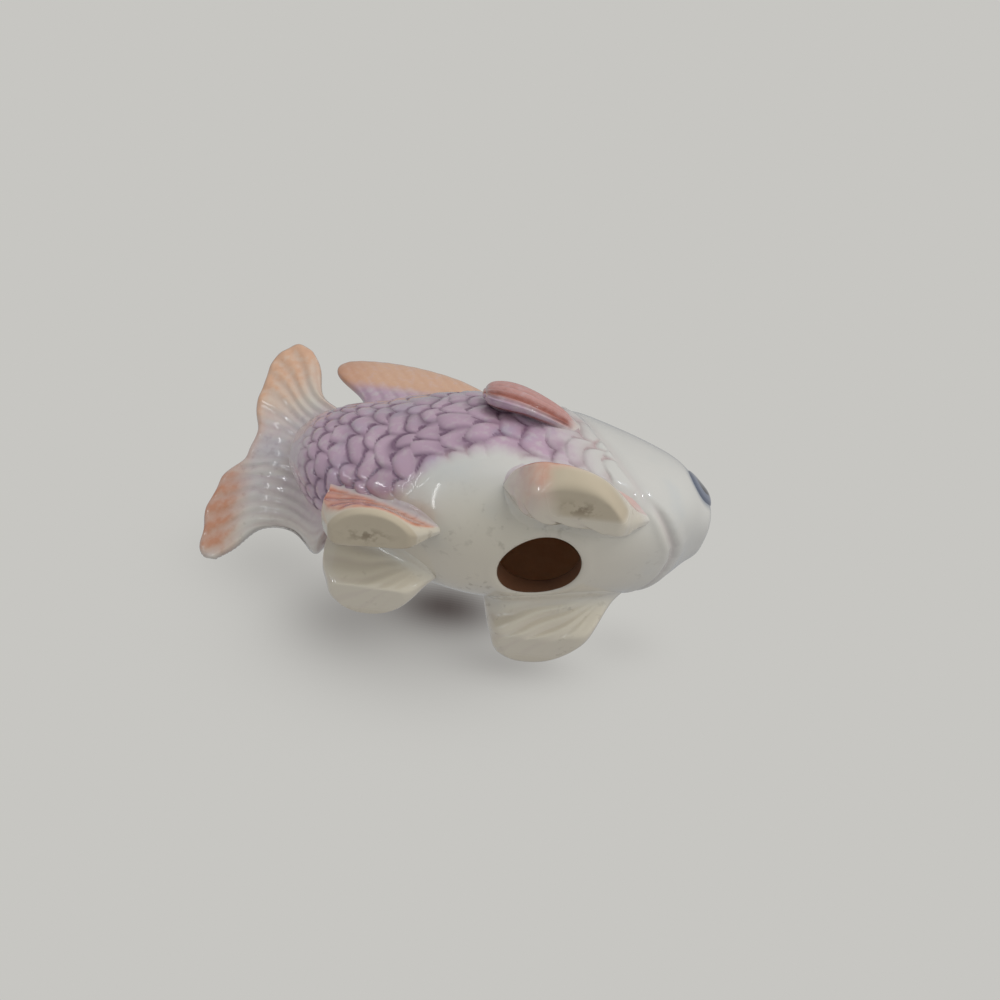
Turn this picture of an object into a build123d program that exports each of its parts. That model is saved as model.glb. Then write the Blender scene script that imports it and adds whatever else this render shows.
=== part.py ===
from build123d import *
import math
import os

# A hollow slip-cast porcelain fish that stands on four fin feet.
# X points to the head, Y to the fish's left, Z up. The feet stand on z = 0.
# All lengths are in millimetres.

# Body
body_length = 87.0
body_width = 34.6
body_height = 46.4
belly_clearance = 2.8
wall_thickness = 2.8

# Drain hole in the belly
drain_radius = 8.0
drain_ahead = 15.6
drain_collar_width = 2.6
drain_rim_depth = 5.6
cut_overrun = 10.0

# Fin feet: the front pair and the rear pair
front_foot_length = 33.0
front_foot_spread = 54.4
rear_foot_length = 24.0
rear_foot_spread = 29.4
foot_rise = 17.2

# Side, back and tail fins
pectoral_length = 23.0
dorsal_length = 48.0
dorsal_rise = 16.0
tail_span = 52.4
tail_sweep = 7.8

# Eyes
eye_radius = 4.4
eye_rise = 0.7

# Middle of the whole figure, ahead of the datum section
figure_middle_x = -1.35

# Middles of the fins, ahead of the datum section, in shares of the body's length
front_foot_ahead_share = 0.200
rear_foot_ahead_share = -0.175
pectoral_ahead_share = 0.144
dorsal_ahead_share = -0.100

# Body sections, tail to snout: place along the body from the datum section,
# half width, top and bottom. Place is a share of the body's length, half width
# of its width, top and bottom of its height above the belly.
body_shares = [
    (-0.4140, 0.072, 0.729, 0.491),
    (-0.3793, 0.165, 0.791, 0.394),
    (-0.3218, 0.250, 0.830, 0.303),
    (-0.2069, 0.344, 0.895, 0.172),
    (-0.0575, 0.462, 0.981, 0.040),
    (0.0920, 0.500, 1.000, 0.000),
    (0.2299, 0.478, 0.966, 0.030),
    (0.3448, 0.448, 0.890, 0.063),
    (0.4368, 0.405, 0.799, 0.110),
    (0.5057, 0.341, 0.703, 0.191),
    (0.5517, 0.246, 0.605, 0.261),
    (0.5713, 0.200, 0.567, 0.285),
    (0.5816, 0.130, 0.513, 0.328),
    (0.5862, 0.050, 0.447, 0.381),
]
# Height of the widest level of a section between its bottom and its top, and
# how peaked the back and how full the belly is.
widest_level_share = 0.42
back_side_share = 1.12
back_rise_share = 1.0
belly_side_share = 0.76
belly_drop_share = 0.76
section_points = 24
# First and last section of the hollow
hollow_first = 2
hollow_last = 10

# Front feet, rear to front: place from the foot's middle, rim out and up, outer
# and inner edge of the sole, sole height, lower root out and up, upper root out
# and up. Places are shares of the foot's length, widths of the half spread,
# heights of the foot's height.
front_foot_shares = [
    (-0.335, 0.735, 0.400, 0.715, 0.665, 0.330, 0.620, 0.400, 0.620, 0.490),
    (-0.312, 0.800, 0.410, 0.762, 0.660, 0.250, 0.560, 0.400, 0.580, 0.620),
    (-0.262, 0.872, 0.350, 0.803, 0.643, 0.115, 0.480, 0.400, 0.510, 0.760),
    (-0.192, 0.940, 0.280, 0.831, 0.632, 0.015, 0.405, 0.400, 0.478, 0.800),
    (-0.107, 0.988, 0.220, 0.853, 0.632, -0.030, 0.350, 0.400, 0.478, 0.825),
    (-0.012, 1.000, 0.180, 0.856, 0.632, -0.030, 0.350, 0.400, 0.478, 0.825),
    (0.109, 0.956, 0.175, 0.838, 0.618, -0.030, 0.350, 0.400, 0.478, 0.825),
    (0.223, 0.846, 0.210, 0.757, 0.570, -0.015, 0.340, 0.410, 0.460, 0.810),
    (0.323, 0.700, 0.270, 0.640, 0.515, 0.060, 0.330, 0.430, 0.441, 0.780),
    (0.418, 0.560, 0.365, 0.515, 0.441, 0.225, 0.294, 0.460, 0.404, 0.740),
    (0.523, 0.420, 0.540, 0.396, 0.350, 0.450, 0.280, 0.530, 0.331, 0.680),
]
# Rear feet, the same columns
rear_foot_shares = [
    (-0.486, 0.480, 0.520, 0.420, 0.300, 0.420, 0.150, 0.880, 0.280, 0.900),
    (-0.346, 0.740, 0.200, 0.640, 0.350, 0.060, 0.150, 0.800, 0.300, 0.800),
    (-0.199, 0.940, 0.095, 0.795, 0.370, -0.030, 0.160, 0.710, 0.330, 0.710),
    (-0.033, 1.000, 0.080, 0.850, 0.395, -0.030, 0.180, 0.620, 0.350, 0.620),
    (0.134, 0.915, 0.085, 0.770, 0.410, -0.030, 0.210, 0.530, 0.370, 0.530),
    (0.301, 0.690, 0.125, 0.610, 0.410, 0.040, 0.240, 0.450, 0.400, 0.450),
    (0.484, 0.500, 0.270, 0.470, 0.400, 0.200, 0.300, 0.370, 0.400, 0.370),
]
# How far a foot's upper slope is hollowed, where its rim turns under and where
# its inner face steps in
slope_hollow_share = 0.03
rim_tuck_out_share = 0.62
rim_tuck_up_share = 0.35
inner_step_share = 0.55

# Pectoral fins, rear to front, in shares of the fin's length: place from the
# fin's middle, out from the body's side, up from its widest level, half height
# and half thickness
pectoral_shares = [
    (-0.460, 0.048, 0.461, 0.080, 0.035),
    (-0.430, 0.050, 0.460, 0.175, 0.066),
    (-0.335, 0.053, 0.458, 0.240, 0.090),
    (-0.165, 0.043, 0.443, 0.266, 0.095),
    (0.015, 0.013, 0.396, 0.238, 0.095),
    (0.195, -0.037, 0.338, 0.176, 0.090),
    (0.345, -0.107, 0.292, 0.116, 0.080),
    (0.455, -0.187, 0.280, 0.070, 0.060),
]
pectoral_lean = 28.0

# Dorsal fin, root to top: level as a share of the fin's rise above the back,
# then rear end and front end from the fin's middle and half thickness as shares
# of the fin's length
dorsal_shares = [
    (-0.325, -0.309, 0.491, 0.070),
    (-0.060, -0.319, 0.451, 0.062),
    (0.185, -0.364, 0.381, 0.052),
    (0.430, -0.444, 0.286, 0.044),
    (0.635, -0.487, 0.201, 0.038),
    (0.817, -0.477, 0.081, 0.030),
    (0.938, -0.419, -0.059, 0.021),
    (1.000, -0.319, -0.169, 0.010),
]
dorsal_edge_share = 0.5

# Tail strips, root to edge: place from the body's rear end, height over its
# middle and half thickness as shares of the tail's span, part of the full
# sweep, and roll as a share of a full turn
tail_strip_shares = [
    (0.207, 0.043, 0.068, 0.335, 0.040),
    (0.115, 0.051, 0.052, 0.577, 0.055),
    (-0.013, 0.055, 0.037, 0.900, 0.070),
    (-0.173, 0.055, 0.027, 1.000, 0.076),
    (-0.433, 0.055, 0.019, 1.000, 0.076),
]
strip_reach_share = 0.69
# Tail outline in shares of the tail's span: place from the body's rear end and
# place along the fan's own span
tail_outline_shares = [
    (0.207, 0.150),
    (0.132, 0.262),
    (0.059, 0.323),
    (0.034, 0.393),
    (0.017, 0.473),
    (-0.029, 0.548),
    (-0.090, 0.574),
    (-0.137, 0.546),
    (-0.181, 0.496),
    (-0.200, 0.433),
    (-0.208, 0.359),
    (-0.221, 0.284),
    (-0.212, 0.210),
    (-0.195, 0.143),
    (-0.210, 0.071),
    (-0.227, 0.006),
    (-0.269, -0.036),
    (-0.303, -0.088),
    (-0.315, -0.147),
    (-0.334, -0.202),
    (-0.336, -0.258),
    (-0.328, -0.311),
    (-0.331, -0.374),
    (-0.306, -0.418),
    (-0.263, -0.426),
    (-0.185, -0.363),
    (-0.111, -0.285),
    (-0.021, -0.272),
    (0.071, -0.320),
    (0.142, -0.385),
    (0.207, -0.310),
]

# Middle of each eye on the head's surface: ahead as a share of the body's
# length, out of its width and up of its height above the belly
eye_centre_shares = (0.5517, 0.2341, 0.4483)


def lobe(value, power):
    """A signed power, which bends a circle into a fuller or flatter lobe."""
    return math.copysign(abs(value) ** power, value)


def circle_shares(count):
    """Cosine and sine of evenly spaced turns."""
    turns = [2 * math.pi * index / count for index in range(count)]
    return [(math.cos(turn), math.sin(turn)) for turn in turns]


def spline_face(points):
    """A face inside a closed smooth curve through the points."""
    return make_face(Spline(*points, periodic=True))


def body_level(share):
    """Height above the floor of a share of the body's height."""
    return belly_clearance + share * body_height


def widest_level(top, bottom):
    """Height of the widest level between a bottom and a top."""
    return bottom + widest_level_share * (top - bottom)


def body_section(row, inset):
    """One cross-section of the body, set in by inset."""
    place, half_share, top_share, bottom_share = row
    half = half_share * body_width - inset
    top = body_level(top_share) - inset
    bottom = body_level(bottom_share) + inset
    level = widest_level(top, bottom)
    points = []
    for side, rise in circle_shares(section_points):
        if rise > 0:
            out = half * lobe(side, back_side_share)
            up = level + (top - level) * lobe(rise, back_rise_share)
        else:
            out = half * lobe(side, belly_side_share)
            up = level + (level - bottom) * lobe(rise, belly_drop_share)
        points.append((place * body_length, out, up))
    return spline_face(points)


def body_outer(grown=0):
    """The outside form of the body, grown outwards by a small height."""
    return loft([body_section(row, -grown) for row in body_shares])


def body_hollow():
    """The hollow inside the body, one wall thickness in."""
    rows = body_shares[hollow_first : hollow_last + 1]
    return loft([body_section(row, wall_thickness) for row in rows])


def drain_cylinder(radius, bottom, top):
    """An upright cylinder on the drain hole's axis."""
    return Pos(drain_ahead, 0, (bottom + top) / 2) * Cylinder(radius, top - bottom)


def make_body_shell(outer):
    """The hollow body with its drain hole and the thick rim inside it."""
    rim_top = belly_clearance + drain_rim_depth
    collar = drain_cylinder(drain_radius + drain_collar_width, belly_clearance, rim_top)
    bore = drain_cylinder(drain_radius, belly_clearance - cut_overrun, rim_top + cut_overrun)
    return outer - body_hollow() + (collar & outer) - bore


def foot_section(row, length, spread, ahead_share):
    """One cross-section of a fin foot on the left side."""
    place, rim_out, rim_up, pad_out, pad_in, sole, low_out, low_up, top_out, top_up = row
    slope_out = (rim_out + top_out) / 2 - slope_hollow_share * (rim_out - top_out)
    slope_up = (rim_up + top_up) / 2 - slope_hollow_share * (top_up - rim_up)
    outline = [
        (top_out, top_up),
        (slope_out, slope_up),
        (rim_out, rim_up),
        (pad_out + rim_tuck_out_share * (rim_out - pad_out), sole + rim_tuck_up_share * (rim_up - sole)),
        (pad_out, sole),
        (pad_in, sole),
        (low_out + inner_step_share * (pad_in - low_out), sole + inner_step_share * (low_up - sole)),
        (low_out, low_up),
    ]
    height = belly_clearance + foot_rise
    ahead = ahead_share * body_length + place * length
    points = [(ahead, out * spread / 2, up * height) for out, up in outline]
    return make_face(Polyline(*points, close=True))


def make_foot(rows, length, spread, ahead_share):
    """A left fin foot, cut flat at its sole."""
    blade = loft([foot_section(row, length, spread, ahead_share) for row in rows])
    floor_size = body_length + front_foot_spread
    floor = Box(floor_size, floor_size, cut_overrun, align=(Align.CENTER, Align.CENTER, Align.MAX))
    return blade - floor


def pectoral_section(row):
    """One cross-section of a left pectoral fin, leaning with the flank."""
    place, out, up, half_height, half_thickness = row
    lean = math.radians(pectoral_lean)
    level = widest_level(body_level(1), belly_clearance)
    points = []
    for across_unit, along_unit in circle_shares(section_points):
        along = half_height * along_unit
        across = half_thickness * across_unit
        shift_out = across * math.cos(lean) - along * math.sin(lean)
        shift_up = across * math.sin(lean) + along * math.cos(lean)
        points.append(
            (
                pectoral_ahead_share * body_length + place * pectoral_length,
                body_width / 2 + (out + shift_out) * pectoral_length,
                level + (up + shift_up) * pectoral_length,
            )
        )
    return spline_face(points)


def make_pectoral_fin():
    """A left leaf-shaped fin laid back along the upper flank."""
    return loft([pectoral_section(row) for row in pectoral_shares])


def dorsal_section(row):
    """One level of the dorsal fin, a long lens."""
    level, rear, front, half_thickness = row
    points = []
    for along_unit, across_unit in circle_shares(section_points):
        along = (rear + front) / 2 + (front - rear) / 2 * along_unit
        across = half_thickness * lobe(across_unit, dorsal_edge_share)
        up = body_level(1) + level * dorsal_rise
        ahead = dorsal_ahead_share * body_length + along * dorsal_length
        points.append((ahead, across * dorsal_length, up))
    return spline_face(points)


def make_dorsal_fin(outer):
    """The back fin, swept to a rounded rear tip."""
    return loft([dorsal_section(row) for row in dorsal_shares]) - outer


def tail_root():
    """Place and middle height of the body's rear end, where the tail grows."""
    place, half, top, bottom = body_shares[0]
    return place * body_length, widest_level(body_level(top), body_level(bottom))


def tail_strip(row):
    """One upright strip of the tail fan, straight with round ends."""
    place, rise, half_share, sweep, roll = row
    root_x, root_z = tail_root()
    tilt = 2 * math.pi * roll
    reach = strip_reach_share * tail_span
    half_thickness = half_share * tail_span

    def on_strip(along, across):
        return (
            root_x + place * tail_span,
            sweep * tail_sweep - along * math.sin(tilt) + across * math.cos(tilt),
            root_z + rise * tail_span + along * math.cos(tilt) + across * math.sin(tilt),
        )

    low_left = on_strip(-reach, half_thickness)
    low_right = on_strip(-reach, -half_thickness)
    high_left = on_strip(reach, half_thickness)
    high_right = on_strip(reach, -half_thickness)
    edges = [
        Line(low_left, high_left),
        ThreePointArc(high_left, on_strip(reach + half_thickness, 0), high_right),
        Line(high_right, low_right),
        ThreePointArc(low_right, on_strip(-reach - half_thickness, 0), low_left),
    ]
    return make_face(edges)


def make_tail_fin(outer):
    """The tail fan: rolled strips trimmed to the two-lobed outline."""
    slab = loft([tail_strip(row) for row in tail_strip_shares])
    place, rise, half_share, sweep, roll = tail_strip_shares[-1]
    root_x, root_z = tail_root()
    tilt = 2 * math.pi * roll
    seat = Plane(
        origin=(root_x, sweep * tail_sweep, root_z + rise * tail_span),
        x_dir=(1, 0, 0),
        z_dir=(0, -math.cos(tilt), -math.sin(tilt)),
    )
    outline = spline_face([(along * tail_span, up * tail_span) for along, up in tail_outline_shares])
    prism = extrude(seat * outline, amount=tail_span / 2, both=True)
    return (slab & prism) - outer


def make_eye():
    """A round patch of raised skin on the left of the head."""
    ahead, out, up = eye_centre_shares
    centre = Pos(ahead * body_length, out * body_width, body_level(up))
    return body_outer(eye_rise) & (centre * Sphere(eye_radius))


def build_pieces():
    """All pieces of the figure by name, seated on the body."""
    outer = body_outer()
    pieces = {
        "body_shell": make_body_shell(outer),
        "tail_fin": make_tail_fin(outer),
        "dorsal_fin": make_dorsal_fin(outer),
    }
    pairs = {
        "pectoral_fin": make_pectoral_fin(),
        "pelvic_fin": make_foot(
            front_foot_shares, front_foot_length, front_foot_spread, front_foot_ahead_share
        ),
        "anal_fin": make_foot(
            rear_foot_shares, rear_foot_length, rear_foot_spread, rear_foot_ahead_share
        ),
        "eye": make_eye(),
    }
    for name, blank in pairs.items():
        pieces[f"left_{name}"] = blank - outer
        pieces[f"right_{name}"] = mirror(blank, about=Plane.XZ) - outer
    pieces["tail_fin"] -= pieces["left_anal_fin"]
    return pieces


def main():
    """Write one STEP file for every piece, centred on the figure's middle."""
    os.makedirs("parts", exist_ok=True)
    for name, piece in build_pieces().items():
        export_step(Pos(-figure_middle_x, 0, 0) * piece, os.path.join("parts", f"{name}.step"))


main()
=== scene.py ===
"""A glazed porcelain fish figurine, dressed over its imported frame.

The fish stands on four fin feet. Every piece is built as a fine grid in
millimetres from a datum section of the body: x runs to the head, y to the
fish's left and z up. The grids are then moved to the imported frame, in metres.
"""

import logging
import math
from dataclasses import dataclass
from enum import Enum

import bmesh
import bpy
import numpy as np
from mathutils import Matrix, Vector
from mathutils.bvhtree import BVHTree


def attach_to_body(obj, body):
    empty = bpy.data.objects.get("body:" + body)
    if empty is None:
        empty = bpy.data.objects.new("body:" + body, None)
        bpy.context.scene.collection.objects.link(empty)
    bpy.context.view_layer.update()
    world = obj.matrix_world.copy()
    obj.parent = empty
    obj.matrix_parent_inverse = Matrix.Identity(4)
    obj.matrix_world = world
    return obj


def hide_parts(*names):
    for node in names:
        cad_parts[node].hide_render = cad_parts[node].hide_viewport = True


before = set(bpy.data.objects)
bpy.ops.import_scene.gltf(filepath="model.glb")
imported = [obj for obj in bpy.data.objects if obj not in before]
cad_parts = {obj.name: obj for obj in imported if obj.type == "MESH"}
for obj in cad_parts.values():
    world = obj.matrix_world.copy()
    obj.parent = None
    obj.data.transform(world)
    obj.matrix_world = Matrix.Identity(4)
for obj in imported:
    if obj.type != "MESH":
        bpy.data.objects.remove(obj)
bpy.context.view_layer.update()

log = logging.getLogger("fish")

MILLIMETRE = 0.001
DATUM_SHIFT = (1.35, 0.0, 0.0)
HOLE_AHEAD = 15.6
HOLE_CLEAR = 8.9
EYE_PLACE = (48.0, 8.1, 23.6)
CREAM_RISE = (1.0, 13.0)


class Mask(str, Enum):
    """The painted areas that a piece can carry, each from 0 to 1."""

    FLANK = "flank"
    # Painted shade in creases and furrows, partly the darker glaze that pools there.
    CREASE = "crease"
    TINT = "tint"
    # Deeper paint, and on the cloth its painted shadow.
    DEEP = "deep"
    BARE = "bare"
    WEAR = "wear"
    HALO = "halo"
    CREAM = "cream"


class Slot(str, Enum):
    """The record's material slots."""

    BODY = "glazed_body"
    FIN = "glazed_fin"
    FOOT = "glazed_foot"
    EYE = "painted_eye"


class Side(Enum):
    """Which side of the fish a paired fin is on."""

    LEFT = 1.0
    RIGHT = -1.0


Colour = tuple[float, float, float]
Span = tuple[float, float]
Masks = dict[Mask, np.ndarray | float]
Socket = bpy.types.NodeSocket


def paint(red: float, green: float, blue: float) -> Colour:
    """Turn a screen colour of 0 to 255 into linear light."""
    shares = [channel / 255.0 for channel in (red, green, blue)]
    return tuple(share / 12.92 if share <= 0.04045 else ((share + 0.055) / 1.055) ** 2.4 for share in shares)


def ease(low: float, high: float, value: np.ndarray) -> np.ndarray:
    """Rise smoothly from 0 at low to 1 at high, or fall where low is the higher."""
    share = np.clip((value - low) / (high - low), 0.0, 1.0)
    return share * share * (3.0 - 2.0 * share)


def bell(value: np.ndarray, width: float) -> np.ndarray:
    """A bell curve of height 1, which has fallen to about a third at its width."""
    return np.exp(-((value / width) ** 2))


def round_in(share: np.ndarray) -> np.ndarray:
    """Rise from 0 to 1 along a quarter circle, steep at first."""
    return np.sqrt(1.0 - (1.0 - np.clip(share, 0.0, 1.0)) ** 2)


def unit(vectors: np.ndarray, least: float = 1e-9) -> np.ndarray:
    """Scale vectors to length 1; those shorter than the least length stay short."""
    return vectors / np.maximum(np.linalg.norm(vectors, axis=-1, keepdims=True), least)


def points_of(x: np.ndarray | float, y: np.ndarray | float, z: np.ndarray | float) -> np.ndarray:
    """Join three coordinates, arrays or plain numbers, into points."""
    return np.stack(np.broadcast_arrays(x, y, z), axis=-1)


def circle(count: int) -> tuple[np.ndarray, np.ndarray]:
    """Cosines and sines of evenly spaced turns."""
    turns = np.linspace(0.0, 2.0 * math.pi, count, endpoint=False)
    return np.cos(turns), np.sin(turns)


def read_line(pairs: tuple, at: np.ndarray) -> np.ndarray:
    """Read a line, given as pairs of place and value, at other places."""
    places, values = np.array(pairs).T
    return np.interp(at, places, values)


def cubic(knots: np.ndarray, values: np.ndarray, at: np.ndarray) -> np.ndarray:
    """Run a natural cubic spline through rows of values.

    Args:
        knots: Rising places of the rows.
        values: One row of numbers for each knot.
        at: Places to read.

    Returns:
        One row for each place.
    """
    count = len(knots)
    step = np.diff(knots)
    left, right = np.zeros((count, count)), np.zeros(values.shape)
    left[0, 0] = left[-1, -1] = 1.0
    for i in range(1, count - 1):
        left[i, i - 1 : i + 2] = step[i - 1], 2.0 * (step[i - 1] + step[i]), step[i]
        right[i] = 3.0 * ((values[i + 1] - values[i]) / step[i] - (values[i] - values[i - 1]) / step[i - 1])
    bend = np.linalg.solve(left, right)
    i = np.clip(np.searchsorted(knots, at) - 1, 0, count - 2)
    along, span = (at - knots[i])[:, None], step[i][:, None]
    slope = (values[i + 1] - values[i]) / span - span * (2.0 * bend[i] + bend[i + 1]) / 3.0
    return values[i] + along * (slope + along * (bend[i] + along * (bend[i + 1] - bend[i]) / (3.0 * span)))


def chord_places(rows: np.ndarray) -> np.ndarray:
    """Distances along a run of points, from the first one."""
    return np.concatenate([[0.0], np.cumsum(np.linalg.norm(np.diff(rows, axis=0), axis=1))])


def smooth_rows(rows: tuple | np.ndarray, count: int) -> np.ndarray:
    """Run a spline through table rows, spaced by the distances between them.

    Args:
        rows: The table, one row for each section.
        count: The number of rows to make.

    Returns:
        The rows along the spline.
    """
    table = np.array(rows)
    places = chord_places(table)
    return cubic(places, table, np.linspace(0.0, places[-1], count))


def even_run(rows: np.ndarray, count: int, closed: bool = False) -> np.ndarray:
    """Space points evenly along a polyline.

    Args:
        rows: Points of the line.
        count: How many points to give.
        closed: Whether the line ends where it starts.

    Returns:
        The evenly spaced points.
    """
    line = np.vstack([rows, rows[:1]]) if closed else rows
    places = chord_places(line)
    at = np.linspace(0.0, places[-1], count, endpoint=not closed)
    return np.stack([np.interp(at, places, values) for values in line.T], axis=1)


def rounded_loop(corners: np.ndarray, rounds: int) -> np.ndarray:
    """Cut the corners of a closed outline again and again until it is round.

    Args:
        corners: Points of the outline.
        rounds: How many times to cut.

    Returns:
        The rounded outline.
    """
    near_share = 0.25
    for _ in range(rounds):
        cut = near_share * (np.roll(corners, -1, axis=0) - corners)
        corners = np.stack([corners + cut, np.roll(corners, -1, axis=0) - cut], axis=1).reshape(-1, 2)
    return corners


def nose(end: np.ndarray, tip: tuple, count: int) -> np.ndarray:
    """Rings that close an end section in a round nose.

    Args:
        end: Points of the section.
        tip: How far the nose sticks out along each axis.
        count: How many rings to give.

    Returns:
        The rings, from the section to the tip.
    """
    least_share = 0.002
    turns = np.linspace(0.0, math.pi / 2.0, count + 1)[1:, None, None]
    middle = end.mean(axis=0)
    return middle + (end - middle) * np.maximum(np.cos(turns), least_share) + np.array(tip) * np.sin(turns)


def outward_normals(grid: np.ndarray) -> np.ndarray:
    """Unit normals, pointing out, of a grid whose columns close on themselves.

    Args:
        grid: Points of shape (rows, columns, 3).

    Returns:
        Normals of the same shape.
    """
    across = np.roll(grid, -1, axis=1) - np.roll(grid, 1, axis=1)
    normals = unit(np.cross(np.gradient(grid, axis=0), across / 2.0))
    return normals if np.sum(normals * (grid - grid.mean(axis=(0, 1)))) > 0.0 else -normals


def quads(rows: int, columns: int) -> np.ndarray:
    """Faces of such a grid, of shape (rows - 1, columns, 4).

    Args:
        rows: The number of rows.
        columns: The number of columns.

    Returns:
        The corner numbers of each face.
    """
    here = np.arange(rows * columns).reshape(rows, columns)
    ahead = np.roll(here, -1, axis=1)
    return np.stack([here[:-1], ahead[:-1], ahead[1:], here[1:]], axis=-1)


def all_corners(flags: np.ndarray) -> np.ndarray:
    """Whether all four corners of each face of such a grid are flagged."""
    pairs = flags & np.roll(flags, -1, axis=1)
    return pairs[:-1] & pairs[1:]


def enclosed_volume(points: np.ndarray, faces: np.ndarray) -> float:
    """Volume inside the faces, negative where they look inwards, times six."""
    a, b, c, d = np.moveaxis((points - points.mean(axis=0))[faces], -2, 0)
    return float(np.sum(np.cross(a, b) * c) + np.sum(np.cross(a, c) * d))


def mesh_object(name: str, points: np.ndarray, faces: np.ndarray, masks: Masks) -> bpy.types.Object:
    """Make an object and link it to the scene.

    Args:
        name: The piece's name.
        points: Points of shape (..., 3), in millimetres from the datum.
        faces: Numbers of four points for each face. Points of no face are left out.
        masks: Painted areas, each a number or one value for every point.

    Returns:
        The new object.
    """
    used, numbers = np.unique(faces.reshape(-1), return_inverse=True)
    places = (points.reshape(-1, 3)[used] + np.array(DATUM_SHIFT)) * MILLIMETRE
    mesh = bpy.data.meshes.new(name)
    mesh.from_pydata(places.tolist(), [], numbers.reshape(-1, 4).tolist())
    for mask, values in masks.items():
        layer = mesh.attributes.new(str(mask.value), "FLOAT", "POINT")
        every = np.broadcast_to(values, points.shape[:-1]).reshape(-1)[used]
        layer.data.foreach_set("value", every.astype(np.float32))
    made = bpy.data.objects.new(name, mesh)
    bpy.context.scene.collection.objects.link(made)
    return made


def grid_object(
    name: str,
    grid: np.ndarray,
    masks: Masks,
    side: Side = Side.LEFT,
    weld: float = 0.004,
    kept: np.ndarray | None = None,
) -> bpy.types.Object:
    """Make a smooth object from a grid whose columns close on themselves.

    Args:
        name: The piece's name.
        grid: Points of shape (rows, columns, 3), in millimetres from the datum.
        masks: Painted areas, each a number or of shape (rows, columns).
        side: The right side mirrors the grid.
        weld: Points closer than this are joined, in millimetres.
        kept: Which faces stay, or None for all of them.

    Returns:
        The new object, whose faces look outwards.
    """
    points = (grid * np.array([1.0, side.value, 1.0])).reshape(-1, 3)
    faces = quads(*grid.shape[:2])
    if enclosed_volume(points, faces.reshape(-1, 4)) < 0.0:
        faces = faces[..., ::-1]
    flat = {mask: np.broadcast_to(values, grid.shape[:2]).reshape(-1) for mask, values in masks.items()}
    made = mesh_object(name, points, faces if kept is None else faces[kept], flat)
    work = bmesh.new()
    work.from_mesh(made.data)
    bmesh.ops.remove_doubles(work, verts=work.verts, dist=weld * MILLIMETRE)
    work.to_mesh(made.data)
    work.free()
    made.data.shade_smooth()
    return made


def paired(name: str, grid: np.ndarray, masks: Masks) -> list[bpy.types.Object]:
    """Make a left piece from a grid, and its mirror image on the right."""
    return [grid_object(f"{side.name.lower()}_{name}_glazed", grid, masks, side) for side in Side]


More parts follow.
